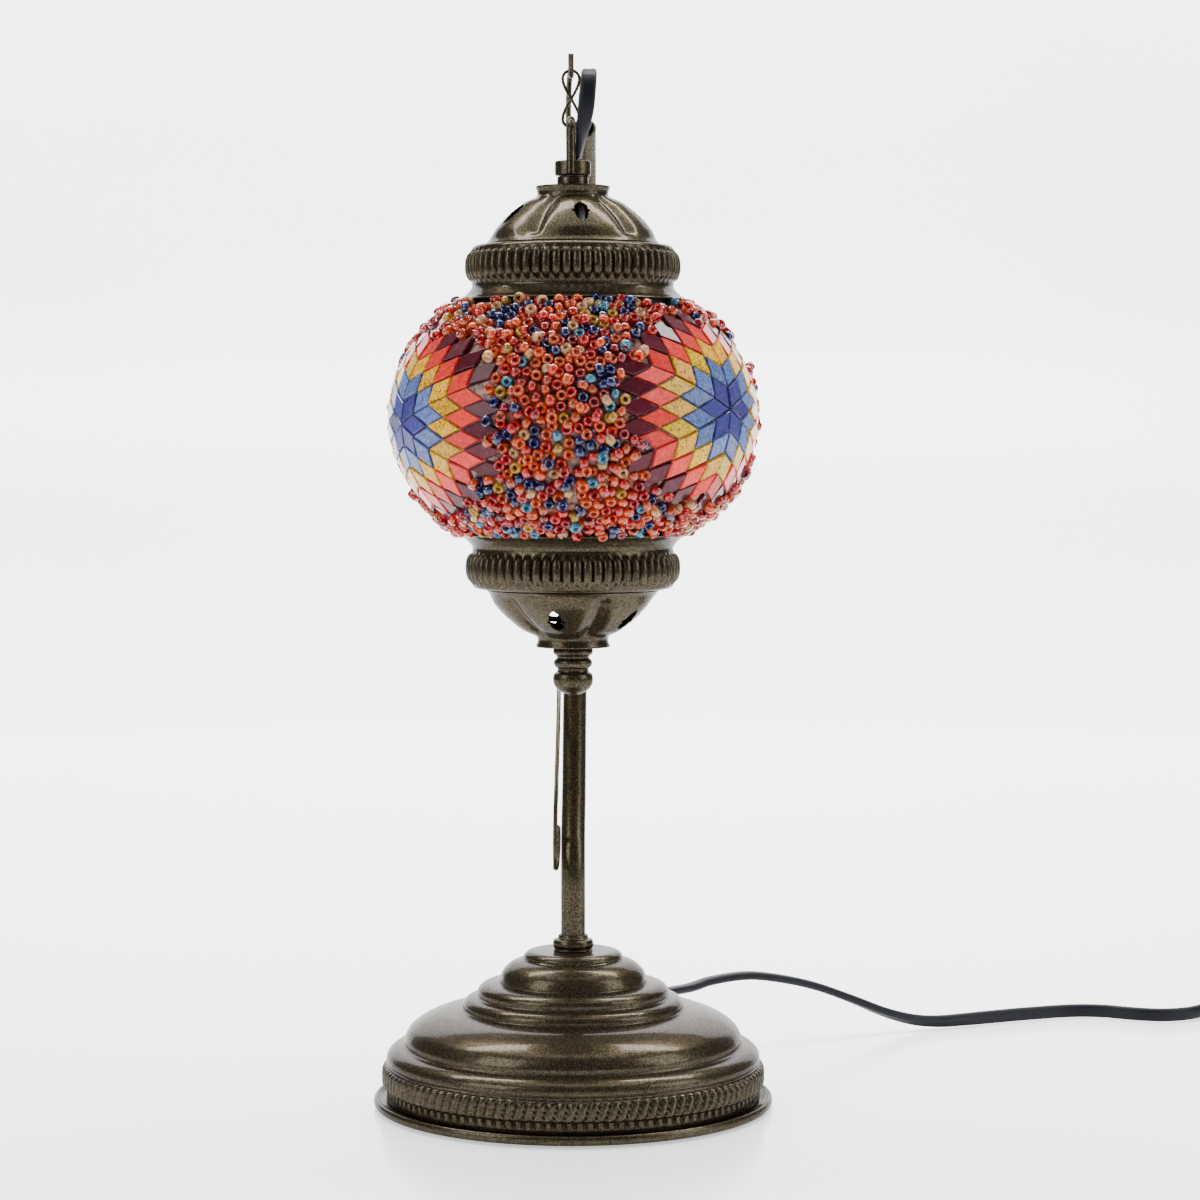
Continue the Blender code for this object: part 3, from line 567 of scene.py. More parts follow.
def coil_route():
    """Six turns on edge: three inward on the table, a hop inside, three outward on top."""
    low, high = COIL_LAYERS_Z
    steps_a_turn = 40
    route = []
    for k in range(6 * steps_a_turn + 1):
        turn = k / steps_a_turn
        radius = COIL_OUTER_TURN_R
        for start in (0.75, 1.75, 2.75):
            radius -= COIL_PITCH * smoothstep(turn, start, start + 0.25)
        radius += COIL_PITCH * smoothstep(turn, 3.12, 3.37)
        for start in (3.75, 4.75, 5.75):
            radius += COIL_PITCH * smoothstep(turn, start, start + 0.25)
        height = low + (high - low) * smoothstep(turn, 2.72, 3.14)
        angle = -2 * math.pi * turn
        route.append(COIL_CENTRE + Vector((radius * math.cos(angle), radius * math.sin(angle),
                                           height)))
    return route


def flat_then_on_edge(route, start, end):
    """The cord's wide direction: level at first, turning upright between two distances."""
    wide = []
    travelled = 0.0
    last = route[0]
    for dot, way in zip(route, tangents(route)):
        travelled += (dot - last).length
        last = dot
        level = way.cross(Vector((0.0, 0.0, 1.0))).normalized()
        upright = level.cross(way)
        turn = math.pi / 2 * smoothstep(travelled, start, end)
        wide.append(level * math.cos(turn) + upright * math.sin(turn))
    return wide


def cord_piece(name, route, wide, mat, nodes):
    form = bmesh.new()
    sweep(form, route, flat_cord(CORD_WIDE, CORD_THIN), wide)
    face_outward(form)
    piece = link_mesh(name, form, mat, 60.0)
    return finish_piece(piece, "stand", "black_pvc", *nodes)


def build_cords(mats):
    bore = GLAND_AT + GLAND_DIRECTION * (GLAND_LENGTH - 12.0)
    tip = GLAND_AT + GLAND_DIRECTION * (GLAND_LENGTH + 2.0)
    run = smooth_route([bore, tip, *CORD_ROUTE], 3.0)
    first = cord_piece("mains_cord", run, flat_then_on_edge(run, 95.0, 185.0), mats["cord"],
                       ["cord_run"])
    tail = smooth_route([*ENTRY_ROUTE, *coil_route(), *TAIL_ROUTE], 3.0)
    upright = [Vector((0.0, 0.0, 1.0))] * len(tail)
    second = cord_piece("mains_cord_coil", tail, upright, mats["cord"],
                        ["cord_entry", "cord_coil", "cord_tail"])
    return (first, run), (second, tail)


def declare_cords(first, second, switch, plug):
    gland_tip = GLAND_AT + GLAND_DIRECTION * GLAND_LENGTH
    for (piece, route), start, far_end, lay, on_it in (
            (first, gland_tip, "fitting", "loose", switch),
            (second, second[1][0], "plug", "coiled", plug)):
        round(route_length(route) * MM, 2)
        [dot * MM for dot in route]
        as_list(on_it)


def build_gland(mats):
    """Tapered strain relief with ribs, pushed through the base's wall."""
    corners = [(3.3, GLAND_LENGTH, 0.0), (3.6, GLAND_LENGTH, 0.3)]
    for k in range(5):
        z = 19.4 - 3.0 * k
        r = 3.75 + 0.2 * k
        corners += [(r, z + 1.0, 0.2), (r - 0.55, z + 0.8, 0.2), (r - 0.5, z - 0.2, 0.2),
                    (r + 0.05, z - 0.4, 0.2)]
    corners += [(4.7, 5.2, 0.4), (5.9, 4.8, 0.4), (5.9, 3.2, 0.2), (4.2, 3.2, 0.2),
                (4.2, -3.6, 0.3), (3.1, -3.6, 0.0), (3.1, GLAND_LENGTH, 0.0)]
    gland = turned("cord_strain_relief", rounded(corners, 3), 28, mats["rubber"])
    turn = GLAND_DIRECTION.to_track_quat("Z", "Y").to_matrix().to_4x4()
    gland.matrix_world = Matrix.Translation(GLAND_AT * MM) @ turn
    return finish_piece(gland, "stand", "black_rubber", "cord_gland")


def build_switch(mats):
    """In-line rocker switch: a lower and an upper shell with ribbed ends, and the rocker."""
    x = SWITCH_X
    middle = sum(SWITCH_Y) / 2
    shells = []
    for name, low, high, node in (("switch_lower_shell", 0.0, 6.6, "switch_base"),
                                  ("switch_upper_shell", 6.9, 13.2, "switch_cover")):
        form = bmesh.new()
        rounded_box(form, (x - 11.0, SWITCH_Y[0], low), (x + 11.0, SWITCH_Y[1], high), 2.2, 4)
        shell = link_mesh(name, form, mats["plastic"])
        for v in shell.data.vertices:
            away = abs(v.co.y - middle * MM) / (31.0 * MM)
            v.co.x = x * MM + (v.co.x - x * MM) * (1.0 - 0.28 * smoothstep(away, 0.75, 1.0))
        shells.append(finish_piece(shell, "stand", "black_plastic", node))
    form = bmesh.new()
    rounded_box(form, (x - 5.6, middle - 9.4, 8.6), (x + 5.6, middle + 9.4, 16.0), 1.0, 2)
    cutter = link_mesh("rocker_window_cut", form, mats["plastic"])
    cut = shells[1].modifiers.new("Window", "BOOLEAN")
    cut.object = cutter
    apply_modifiers(shells[1])
    bpy.data.objects.remove(cutter, do_unlink=True)
    form = bmesh.new()
    for end in (-1, 1):
        for k in range(4):
            y = middle + end * (17.0 + 2.6 * k)
            half = 7.6 - 0.5 * k
            rounded_box(form, (x - half, y - 0.55, 12.6), (x + half, y + 0.55, 13.9), 0.4, 2)
    ribs = finish_piece(link_mesh("switch_grip_ribs", form, mats["plastic"]), "stand", "black_plastic")
    form = bmesh.new()
    rounded_box(form, (-5.0, -8.4, -2.8), (5.0, 8.4, 3.6), 1.0, 3)
    for v in form.verts:
        if v.co.z > 2.0:
            v.co.z -= 1.1 * (1.0 - (v.co.y / 8.4) ** 2)
    rocker = link_mesh("switch_rocker_cap", form, mats["plastic"])
    rocker.matrix_world = (Matrix.Translation(Vector((x, middle, 10.4)) * MM)
                           @ Matrix.Rotation(math.radians(-6.0), 4, "X"))
    finish_piece(rocker, "rocker", "black_plastic", "switch_rocker")
    return [*shells, ribs, rocker]


def apply_modifiers(obj):
    """Bake an object's modifiers into its mesh."""
    graph = bpy.context.evaluated_depsgraph_get()
    mesh = bpy.data.meshes.new_from_object(obj.evaluated_get(graph))
    obj.modifiers.clear()
    obj.data = mesh


def build_plug(mats):
    """Flat two-pin plug with ribbed sides, sleeved pins and a segmented boot."""
    x = SWITCH_X
    front, back = PLUG_Y
    form = bmesh.new()
    rows = []
    for along, half, tall in ((0.0, 12.6, 6.5), (0.6, 13.0, 6.85), (12.0, 13.0, 6.85),
                              (20.0, 11.0, 6.6), (26.0, 8.2, 6.2), (31.2, 7.0, 5.8),
                              (32.0, 6.4, 5.2)):
        row = []
        for k, (across, up) in enumerate(soft_square(40, 0.42)):
            wave = 0.25 if 12.0 <= along <= 26.0 and k % 2 else 0.0
            row.append(form.verts.new((x + (half - wave) * across, front + along,
                                       PLUG_Z + tall * up)))
        rows.append(row)
    grid_faces(form, rows)
    form.faces.new(rows[0])
    form.faces.new(rows[-1])
    face_outward(form)
    body = finish_piece(link_mesh("plug_shell", form, mats["plastic"], 40.0), "stand",
                        "black_plastic", "plug_body")
    corners = [(3.3, 18.3, 0.0), (3.7, 18.3, 0.3)]
    for k in range(4):
        y = 16.4 - 3.6 * k
        r = 3.75 + 0.27 * k
        corners += [(r, y, 0.3), (r - 0.5, y - 0.3, 0.2), (r - 0.45, y - 1.4, 0.2),
                    (r + 0.1, y - 1.7, 0.3)]
    corners += [(4.9, 0.3, 0.3), (3.1, 0.3, 0.0), (3.1, 18.3, 0.0)]
    boot = turned("plug_cord_boot", rounded(corners, 3), 26, mats["rubber"])
    boot.matrix_world = (Matrix.Translation(Vector((x, back, PLUG_Z)) * MM)
                         @ Matrix.Rotation(math.radians(-90.0), 4, "X"))
    finish_piece(boot, "stand", "black_rubber", "plug_boot")
    pieces = [body, boot]
    for side, name in ((-1, "plug_pin_left"), (1, "plug_pin_right")):
        place = (Matrix.Translation(Vector((x + side * 9.3, front - 0.3, PLUG_Z)) * MM)
                 @ Matrix.Rotation(math.radians(90.0), 4, "X"))
        tip = [(0.0, 19.0), (1.2, 18.8), (1.8, 18.0), (2.0, 17.0), (2.0, 8.2), (1.7, 8.0), (0.0, 8.0)]
        pin = turned(name + "_tip", tip, 20, mats["steel"], closed=False)
        sleeve = turned(name + "_sleeve", [(0.0, 8.3), (1.8, 8.3), (2.0, 8.1), (2.0, 0.0), (0.0, 0.0)],
                        20, mats["plastic"], closed=False)
        for piece, slot in ((pin, "plated_steel"), (sleeve, "black_plastic")):
            piece.matrix_world = place
            finish_piece(piece, "stand", slot)
            pieces.append(piece)
        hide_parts(name)
    return pieces


def build_tie(mats):
    """A hook-and-loop strap round the coil's turns."""
    x = COIL_CENTRE.x - COIL_OUTER_TURN_R + 1.5 * COIL_PITCH
    half_x = 7.6
    z = sum(COIL_LAYERS_Z) / 2
    half_z = 6.15
    loop = [Vector((x + half_x * across, COIL_CENTRE.y, z + half_z * up))
            for across, up in soft_square(48, 0.35)]
    form = bmesh.new()
    strip = [(-4.0, -0.2), (-3.8, -0.3), (3.8, -0.3), (4.0, -0.2), (4.0, 0.2), (3.8, 0.3),
             (-3.8, 0.3), (-4.0, 0.2)]
    sweep(form, loop, strip, wide=[Vector((0.0, 1.0, 0.0))] * 48, closed=True)
    face_outward(form)
    tie = link_mesh("coil_strap", form, mats["rubber"], 50.0)
    return finish_piece(tie, "stand", "black_plastic", "coil_tie")


# ---------------------------------------------------------------- base

def build_base(mats):
    pan = rounded([
        (67.9, 3.0, 0.4), (68.6, 3.4, 0.3), (69.0, 4.0, 0.5), (69.9, 4.0, 0.6), (70.5, 3.1, 0.6),
        (70.5, 1.4, 0.7), (69.2, 0.5, 0.5), (68.0, 1.6, 0.4), (67.0, 2.0, 0.3), (14.6, 2.0, 0.5),
        (13.2, 7.1, 0.5), (4.7, 7.1, 0.0), (4.7, 8.1, 0.0), (14.0, 8.1, 0.5), (15.4, 3.0, 0.5),
        (67.0, 3.0, 0.3)])
    bronze(turned("pan_with_rolled_rim", pan, 160, mats["bronze"]), "stand", "base_pan")
    steps = rounded([
        (4.7, 55.0, 0.0), (12.0, 55.0, 1.0), (15.8, 55.0, 1.4), (17.6, 53.4, 1.2), (17.3, 52.2, 0.3),
        (18.1, 52.1, 0.3), (21.8, 51.0, 2.2), (25.2, 47.9, 2.2), (26.0, 44.6, 1.0), (26.0, 44.0, 0.3),
        (27.0, 43.9, 0.4), (31.6, 43.4, 1.4), (33.8, 41.6, 1.2), (33.7, 39.3, 0.4), (34.6, 38.9, 0.4),
        (37.4, 38.4, 1.0), (39.0, 36.6, 0.9), (39.0, 34.9, 0.3), (39.8, 34.6, 0.4), (46.5, 33.7, 2.5),
        (53.0, 31.4, 2.8), (57.9, 28.0, 2.2), (59.7, 24.4, 1.2), (59.5, 22.4, 0.4), (60.5, 21.9, 0.4),
        (63.6, 21.2, 1.4), (65.9, 19.0, 1.3), (66.0, 16.8, 0.4), (65.6, 16.2, 0.3), (66.2, 15.8, 0.2)])
    inside = [(65.2, 15.8), (64.8, 18.0), (58.6, 20.9), (57.0, 27.2), (37.8, 33.6), (35.8, 37.0),
              (30.4, 42.0), (24.9, 43.5), (20.8, 49.8), (15.4, 54.0), (4.7, 54.0)]
    cover = turned("stepped_cover", steps + inside, 180, mats["bronze"])
    bronze(cover, "stand", "base_shell")
    build_base_band(mats)
    collar = rounded([(4.45, 60.6, 0.0), (5.0, 60.7, 0.3), (5.4, 60.0, 0.3), (5.3, 59.3, 0.3),
                      (6.9, 58.9, 0.5), (7.3, 57.6, 0.7), (7.1, 56.3, 0.5), (6.5, 55.9, 0.3),
                      (7.1, 55.3, 0.2), (4.6, 55.3, 0.0)])
    bronze(turned("stem_nut", collar, 64, mats["bronze"]), "stand", "stem_collar")
    pad = rounded([(0.0, 1.7, 0.0), (61.6, 1.7, 0.5), (62.0, 1.0, 0.3), (61.8, 0.0, 0.2),
                   (0.0, 0.0, 0.0)])
    finish_piece(turned("felt_disc", pad, 120, mats["felt"], closed=False), "stand", "felt",
                 "felt_pad")


def build_base_band(mats):
    """The cover's foot: a rope of leaning beads pressed out of the skirt."""
    count = 118
    low, high = 7.4, 15.1
    lean = -0.3  # of one bead's pitch over half its height

    def rope(angle, r, z):
        if not low < z < high or r < 65.9:
            return r, z
        up = (z - (low + high) / 2) / ((high - low) / 2)
        place = angle / (2 * math.pi) * count + lean * up
        across = (place - math.floor(place)) * 2.0 - 1.0
        round_end = max(0.0, 1.0 - up**4)
        return r + 1.7 * math.sqrt(max(0.0, 1.0 - across * across)) * round_end**0.5, z

    rows = 14
    zs = [high - (high - low) * k / rows for k in range(rows + 1)]
    skirt = [(66.2, 15.8), *[(66.0, z) for z in zs], (66.0, 5.0), (66.0, 3.5), (65.8, 3.3)]
    skirt += [(65.0, 3.3), (65.2, 15.8)]
    band = turned("rope_band", skirt, count * 7, mats["bronze"], warp=rope, angle=60.0)
    bronze(band, "stand")


# ---------------------------------------------------------------- neck and suspension

def build_neck(mats):
    route = smooth_route(NECK_ROUTE, 4.0)
    form = bmesh.new()
    outside = sweep(form, route, circle(TUBE_R, 36), caps=False)
    inside = sweep(form, route, circle(TUBE_BORE_R, 36), caps=False)
    for k in range(36):
        after = (k + 1) % 36
        for row in (0, -1):
            form.faces.new((outside[row][k], outside[row][after], inside[row][after],
                            inside[row][k]))
    face_outward(form)
    bronze(link_mesh("swan_neck", form, mats["bronze"]), "stand", "neck_tube")
    hook = rod("hook_rod_bent", smooth_route(HOOK_ROUTE, 1.0), HOOK_R, mats["bronze"], 16)
    bronze(hook, "stand", "hook_rod")
    scroll = rod("scroll_rod_curled", smooth_route(SCROLL_ROUTE, 1.5), 0.8, mats["bronze"], 12,
                 taper=lambda share: 1.0 + 0.5 * smoothstep(share, 0.72, 0.8))
    bronze(scroll, "stand", "scroll_rod")


def build_link(mats):
    middle = (LINK_TOP_Z + LINK_BOTTOM_Z) / 2
    half = (LINK_TOP_Z - LINK_BOTTOM_Z) / 2
    count = 96
    turns = [2 * math.pi * k / count for k in range(count)]
    eight = [Vector((HANG_X + 2.9 * math.sin(2 * t), 0.75 * math.sin(t), middle + half * math.cos(t)))
             for t in turns]
    link = rod("wire_link", eight, LINK_R, mats["bronze"], 10, closed=True)
    bronze(link, "link", "figure8_link")


def build_collar(mats):
    """Cast collar whose arched bail takes the link, and the ring that locks it to the cap."""
    form = bmesh.new()
    lathe(form, rounded([(4.6, 332.4, 0.0), (5.9, 332.4, 0.4), (6.3, 332.0, 0.3), (6.3, 327.6, 0.3),
                         (5.9, 327.2, 0.3), (4.6, 327.2, 0.0)]), 56, closed=True)
    spring = BAIL_TOP_Z - BAIL_REACH
    arch = [math.pi * k / 24 for k in range(25)]
    bail = [Vector((HANG_X, -BAIL_REACH, 327.6)), Vector((HANG_X, -BAIL_REACH, 334.0))]
    bail += [Vector((HANG_X, -BAIL_REACH * math.cos(a), spring + BAIL_REACH * math.sin(a)))
             for a in arch]
    bail += [Vector((HANG_X, BAIL_REACH, 334.0)), Vector((HANG_X, BAIL_REACH, 327.6))]
    sweep(form, bail, circle(BAIL_R, 18))
    face_outward(form)
    collar = link_mesh("collar_with_bail", form, mats["bronze"], 45.0)
    bronze(collar, "lantern", "hanging_collar")
    lock = rounded([(4.6, 326.9, 0.0), (5.2, 326.9, 0.3), (5.5, 326.6, 0.2), (5.5, 324.2, 0.2),
                    (5.2, 323.9, 0.2), (4.6, 323.9, 0.0)])
    bronze(turned("cap_lock_ring", lock, 48, mats["bronze"]), "lantern", "lock_ring")


def build_loop(mats):
    """The flat lead from the neck's open end, over the hook and down into the collar."""
    route = smooth_route(LOOP_ROUTE, 0.9)
    seam_at = min(range(len(route)), key=lambda k: (route[k] - Vector(LOOP_ROUTE[LOOP_SEAM])).length)
    turns = [math.radians(78.0) * smoothstep(dot.z, 352.0, 336.0) if k > seam_at else 0.0
             for k, dot in enumerate(route)]
    wide = [Vector((math.cos(a), math.sin(a), 0.0)) for a in turns]
    seam = route[seam_at] * MM
    halves = (("lead_loop_rear", route[:seam_at + 1], wide[:seam_at + 1], "stand", "link",
               route[0] * MM, seam),
              ("lead_loop_front", route[seam_at:], wide[seam_at:], "link", "lantern",
               seam, route[-1] * MM))
    for name, points, sides, body_a, body_b, start, end in halves:
        form = bmesh.new()
        sweep(form, points, flat_cord(5.4, 2.5), sides)
        face_outward(form)
        half = link_mesh(name, form, mats["cord"], 60.0)
        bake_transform(half)
        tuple(start)
        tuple(end)
        if body_a == "stand":
            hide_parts("loop_lead")


# ---------------------------------------------------------------- lantern caps

def mirrored(points):
    return [(r, 2 * GLOBE_Z - z) for r, z in reversed(points)]


def leaf_outline():
    """A pointed leaf with a cusp on each side, as (across, along) points."""
    side = [(1.3, 4.5), (2.3, 3.2), (2.45, 2.2), (2.1, 1.5), (3.3, 0.95), (2.9, 0.0), (2.25, -0.6),
            (2.3, -1.8), (1.7, -3.4), (1.0, -4.5)]
    return [(0.0, 5.3), *side, (0.0, -5.4), *[(-x, y) for x, y in reversed(side)]]


def leaf_cutters(upside):
    """One mesh of leaf-shaped prisms, square to the dome at each hole."""
    slope = math.radians(46.0)
    turn = 0.0 if upside > 0 else LOWER_LEAF_TURN_DEG
    form = bmesh.new()
    for number in range(LEAF_COUNT):
        angle = math.radians(LEAF_FIRST_DEG + turn + number * 360.0 / LEAF_COUNT)
        out = Vector((math.cos(angle), math.sin(angle), 0.0))
        normal = out * math.cos(slope) + Vector((0.0, 0.0, math.sin(slope) * upside))
        along = out * -math.sin(slope) + Vector((0.0, 0.0, math.cos(slope) * upside))
        across = along.cross(normal)
        height = 313.2 if upside > 0 else 2 * GLOBE_Z - 313.2
        centre = out * 22.6 + Vector((0.0, 0.0, height))
        ends = [[form.verts.new(centre + across * a + along * b + normal * depth)
                 for a, b in leaf_outline()] for depth in (-5.0, 5.0)]
        grid_faces(form, ends)
        form.faces.new(ends[0])
        form.faces.new(ends[1])
    face_outward(form)
    return form


def build_cap(mats, side, upside):
    """One pressed cap: a lobed dome with leaf holes, a beaded belt and a flared skirt."""
    turn = 0.0 if upside > 0 else LOWER_LEAF_TURN_DEG
    first_crease = math.radians(LEAF_FIRST_DEG + turn + 180.0 / LEAF_COUNT)
    lobe = 2 * math.pi / LEAF_COUNT

    def creased(angle, r, z):
        up = z if upside > 0 else 2 * GLOBE_Z - z
        away = (angle - first_crease + lobe / 2) % lobe - lobe / 2
        width = 0.09 + 0.05 * smoothstep(up, 305.0, 318.0)
        valley = math.exp(-(away / width) ** 2)
        swell = 0.45 * math.cos(away / lobe * 2 * math.pi - math.pi)
        live = smoothstep(up, 304.4, 308.0) * smoothstep(up, 320.6, 317.6)
        depth = (1.5 * valley - swell) * live
        return r - 0.72 * depth, z - 0.69 * depth * upside

    def shaped(points):
        return points if upside > 0 else mirrored(points)

    dome_rows = rounded([(12.9, 323.6, 0.0), (13.1, 323.2, 0.3), (12.2, 321.0, 1.0),
                         (13.0, 319.6, 1.2), (17.5, 317.4, 1.5), (22.8, 313.3, 2.5), (27.0, 308.8, 2.5),
                         (29.4, 304.6, 0.8), (30.4, 303.6, 0.0)], 5)
    outer = []
    for start, end in zip(dome_rows, dome_rows[1:]):
        pieces = max(1, round(math.dist(start, end) / 0.9))
        outer += [(start[0] + (end[0] - start[0]) * k / pieces,
                   start[1] + (end[1] - start[1]) * k / pieces) for k in range(pieces)]
    outer.append(dome_rows[-1])
    inner = [(r - 0.45, z - 0.65) for r, z in reversed(outer)]
    dome = turned(side + "_cap_dome", shaped([*outer, *inner]), 200, mats["bronze"], warp=creased,
                  angle=50.0)
    cutter = link_mesh(side + "_leaf_cut", leaf_cutters(upside), mats["bronze"])
    cut = dome.modifiers.new("Leaves", "BOOLEAN")
    cut.object = cutter
    apply_modifiers(dome)
    dome.data.set_sharp_from_angle(angle=math.radians(50.0))
    bpy.data.objects.remove(cutter, do_unlink=True)
    bronze(dome, "lantern", side + "_cap")

    bore_r = 4.6 if upside > 0 else 2.3
    plate = shaped([(12.5, 322.9), (12.4, 322.2), (bore_r, 322.2), (bore_r, 322.9)])
    bronze(turned(side + "_cap_web", plate, 64, mats["bronze"]), "lantern")

    count = 64
    low, high = 290.4, 300.8

    def beaded(angle, r, z):
        up = ((z if upside > 0 else 2 * GLOBE_Z - z) - (low + high) / 2) / ((high - low) / 2)
        if abs(up) >= 1.0 or r < 34.7:
            return r, z
        place = angle / (2 * math.pi) * count
        across = (place - math.floor(place)) * 2.0 - 1.0
        oval = max(0.0, 1.0 - across * across - abs(up) ** 3.0)
        return r + 1.75 * oval**0.5, z

    rows = 16
    band = [(35.5 + 0.5 * math.sin(math.pi * k / rows), high - (high - low) * k / rows)
            for k in range(rows + 1)]
    belt = rounded([(30.0, 303.4, 0.0), (30.6, 303.2, 0.3), (34.2, 302.9, 0.7), (35.3, 302.0, 0.5),
                    (35.5, 300.6, 0.0)], 3) + band
    belt += [(35.3, 289.2), (34.4, 289.2), (34.3, 301.6), (30.0, 302.6)]
    bronze(turned(side + "_cap_belt", shaped(belt), count * 8, mats["bronze"], warp=beaded,
                  angle=60.0), "lantern")

    skirt = rounded([(34.4, 289.3, 0.0), (35.3, 289.3, 0.0), (35.2, 288.6, 0.6), (35.9, 287.4, 1.0),
                     (38.0, 285.2, 1.5), (40.0, 284.2, 0.6), (40.3, 283.7, 0.3), (39.5, 283.3, 0.3),
                     (37.0, 284.6, 1.0), (34.9, 287.4, 0.6)], 4)
    bronze(turned(side + "_cap_skirt", shaped(skirt), 160, mats["bronze"]), "lantern")


def build_finial(mats):
    top = 162.2
    points = rounded([
        (2.4, top, 0.0), (6.6, top, 0.4), (7.1, top - 0.8, 0.5), (7.1, top - 1.9, 0.6),
        (5.9, top - 2.9, 0.4), (5.6, top - 3.6, 0.3), (6.5, top - 4.2, 0.4), (6.9, top - 5.2, 0.6),
        (6.5, top - 6.6, 0.6), (5.5, top - 7.3, 0.3), (5.5, top - 8.3, 0.3), (6.8, top - 9.2, 0.5),
        (7.2, top - 11.0, 1.4), (6.8, top - 13.4, 1.6), (4.6, top - 15.6, 1.6), (1.8, top - 16.6, 0.8),
        (0.0, top - 16.6, 0.0)], 5)
    finial = turned("turned_finial", points + [(0.0, top - 9.6), (2.4, top - 9.6)], 64,
                    mats["bronze"], closed=True)
    bronze(finial, "lantern", "finial")


# ---------------------------------------------------------------- globe and mosaic

def build_globe(mats):
    rows = 30
    mouth = math.acos(GLOBE_MOUTH_R / BED_A)
    sweep_angles = [mouth - 2 * mouth * k / rows for k in range(rows + 1)]
    outside = [(BED_A * math.cos(t), GLOBE_Z + BED_B * math.sin(t)) for t in sweep_angles]
    thin_a, thin_b = BED_A - GLOBE_WALL, BED_B - GLOBE_WALL
    inside = [(thin_a * math.cos(t), GLOBE_Z + thin_b * math.sin(t)) for t in reversed(sweep_angles)]
    globe = turned("glass_globe", outside + inside, 128, mats["glass"])
    finish_piece(globe, "lantern", "clear_glass", "globe_glass")
    edge = math.acos(MOSAIC_EDGE_R / BED_A)
    rise = [edge - 2 * edge * k / rows for k in range(rows + 1)]
    film_out = [((BED_A + 0.7) * math.cos(t), GLOBE_Z + (BED_B + 0.7) * math.sin(t)) for t in rise]
    film_in = [((BED_A + 0.1) * math.cos(t), GLOBE_Z + (BED_B + 0.1) * math.sin(t))
               for t in reversed(rise)]
    film = turned("glue_film", film_out + film_in, 128, mats["glue"])
    finish_piece(film, "lantern", "mosaic_glass", "mosaic_skin")


def star_frame(star):
    azimuth, elevation, turn = (math.radians(a) for a in star)
    centre = Vector((math.sin(azimuth) * math.cos(elevation), -math.cos(azimuth) * math.cos(elevation),
                     math.sin(elevation)))
    right = Vector((math.cos(azimuth), math.sin(azimuth), 0.0))
    up = centre.cross(right)
    if up.z < 0:
        up.negate()
    return centre, right, up, turn


def on_bed(way, lift):
    """The point of the globe's surface in a unit sphere's direction, lifted off it."""
    normal = Vector((way.x / BED_A, way.y / BED_A, way.z / BED_B)).normalized()
    return Vector((BED_A * way.x, BED_A * way.y, GLOBE_Z + BED_B * way.z)) + normal * lift, normal


def star_point(star, u, v):
    """The unit direction of a point u across and v up from a star's centre, in millimetres."""
    centre, right, up, _ = star_frame(star)
    away = math.hypot(u, v) / STAR_MAP_R
    if away < 1e-9:
        return centre
    heading = (right * u + up * v) / math.hypot(u, v)
    return centre * math.cos(away) + heading * math.sin(away)


TILE_RINGS = [  # tint, mottling
    ((0.05, 0.052, 0.21), 0.25), ((0.1, 0.16, 0.4), 0.7), ((0.74, 0.38, 0.012), 1.0),
    ((0.68, 0.032, 0.028), 0.45), ((0.07, 0.007, 0.015), 0.12),
]


def star_tiles(star, rng):
    """Corners and ring number of each tile: six sectors of parallel diamonds."""
    _, _, _, turn = star_frame(star)
    half = math.radians(30.0)
    for sector in range(6):
        axis = turn + sector * math.pi / 3
        first = Vector((math.cos(axis - half), math.sin(axis - half))) * TILE_PITCH
        second = Vector((math.cos(axis + half), math.sin(axis + half))) * TILE_PITCH
        for number in range(5):
            for k in range(number + 1):
                if number == 4 and k == number:
                    continue
                corner = first * (number - k) + second * k
                middle = corner + (first + second) / 2
                shift = Vector((rng.uniform(-0.22, 0.22), rng.uniform(-0.22, 0.22)))
                shrink = 1.0 - 2.0 * TILE_GAP / (TILE_PITCH * math.sin(math.pi / 3))
                spin = Matrix.Rotation(rng.uniform(-0.035, 0.035), 2)
                corners = [middle + shift + spin @ ((corner + step - middle) * shrink)
                           for step in (Vector((0.0, 0.0)), first, first + second, second)]
                yield corners, number


def add_tile(form, star, corners, rng):
    """One flat tile with a chamfered top edge, bedded in the glue."""
    feet = [on_bed(star_point(star, c.x, c.y), 0.0)[0] for c in corners]
    centre = sum(feet, Vector()) / 4
    normal = (feet[2] - feet[0]).cross(feet[3] - feet[1]).normalized()
    if normal.dot(centre - Vector((0.0, 0.0, GLOBE_Z))) < 0:
        normal.negate()
    tilt = Vector([rng.uniform(-0.014, 0.014) for _ in range(3)])
    normal = (normal + tilt).normalized()
    feet = [f - normal * (f - centre).dot(normal) for f in feet]
    thick = TILE_THICK + rng.uniform(-0.15, 0.25)
    rows = []
    for lift, inset in ((-0.5, 0.0), (thick - 0.3, 0.0), (thick, 0.35)):
        rows.append([form.verts.new(f + (centre - f).normalized() * inset + normal * lift)
                     for f in feet])
    grid_faces(form, list(reversed(rows)))
    form.faces.new(rows[-1])
    form.faces.new(list(reversed(rows[0])))


def add_bedding(form, star, corners):
    """The glue under one tile, out to halfway across the gaps round it."""
    middle = sum(corners, Vector((0.0, 0.0))) / 4
    wide = [middle + (c - middle) * (1.0 + 2.4 * TILE_GAP / TILE_PITCH) for c in corners]
    rows = [[form.verts.new(on_bed(star_point(star, c.x, c.y), lift)[0]) for c in wide]
            for lift in (-0.2, 0.2 + 0.55 * TILE_THICK)]
    grid_faces(form, list(reversed(rows)))
    form.faces.new(rows[-1])
    form.faces.new(list(reversed(rows[0])))


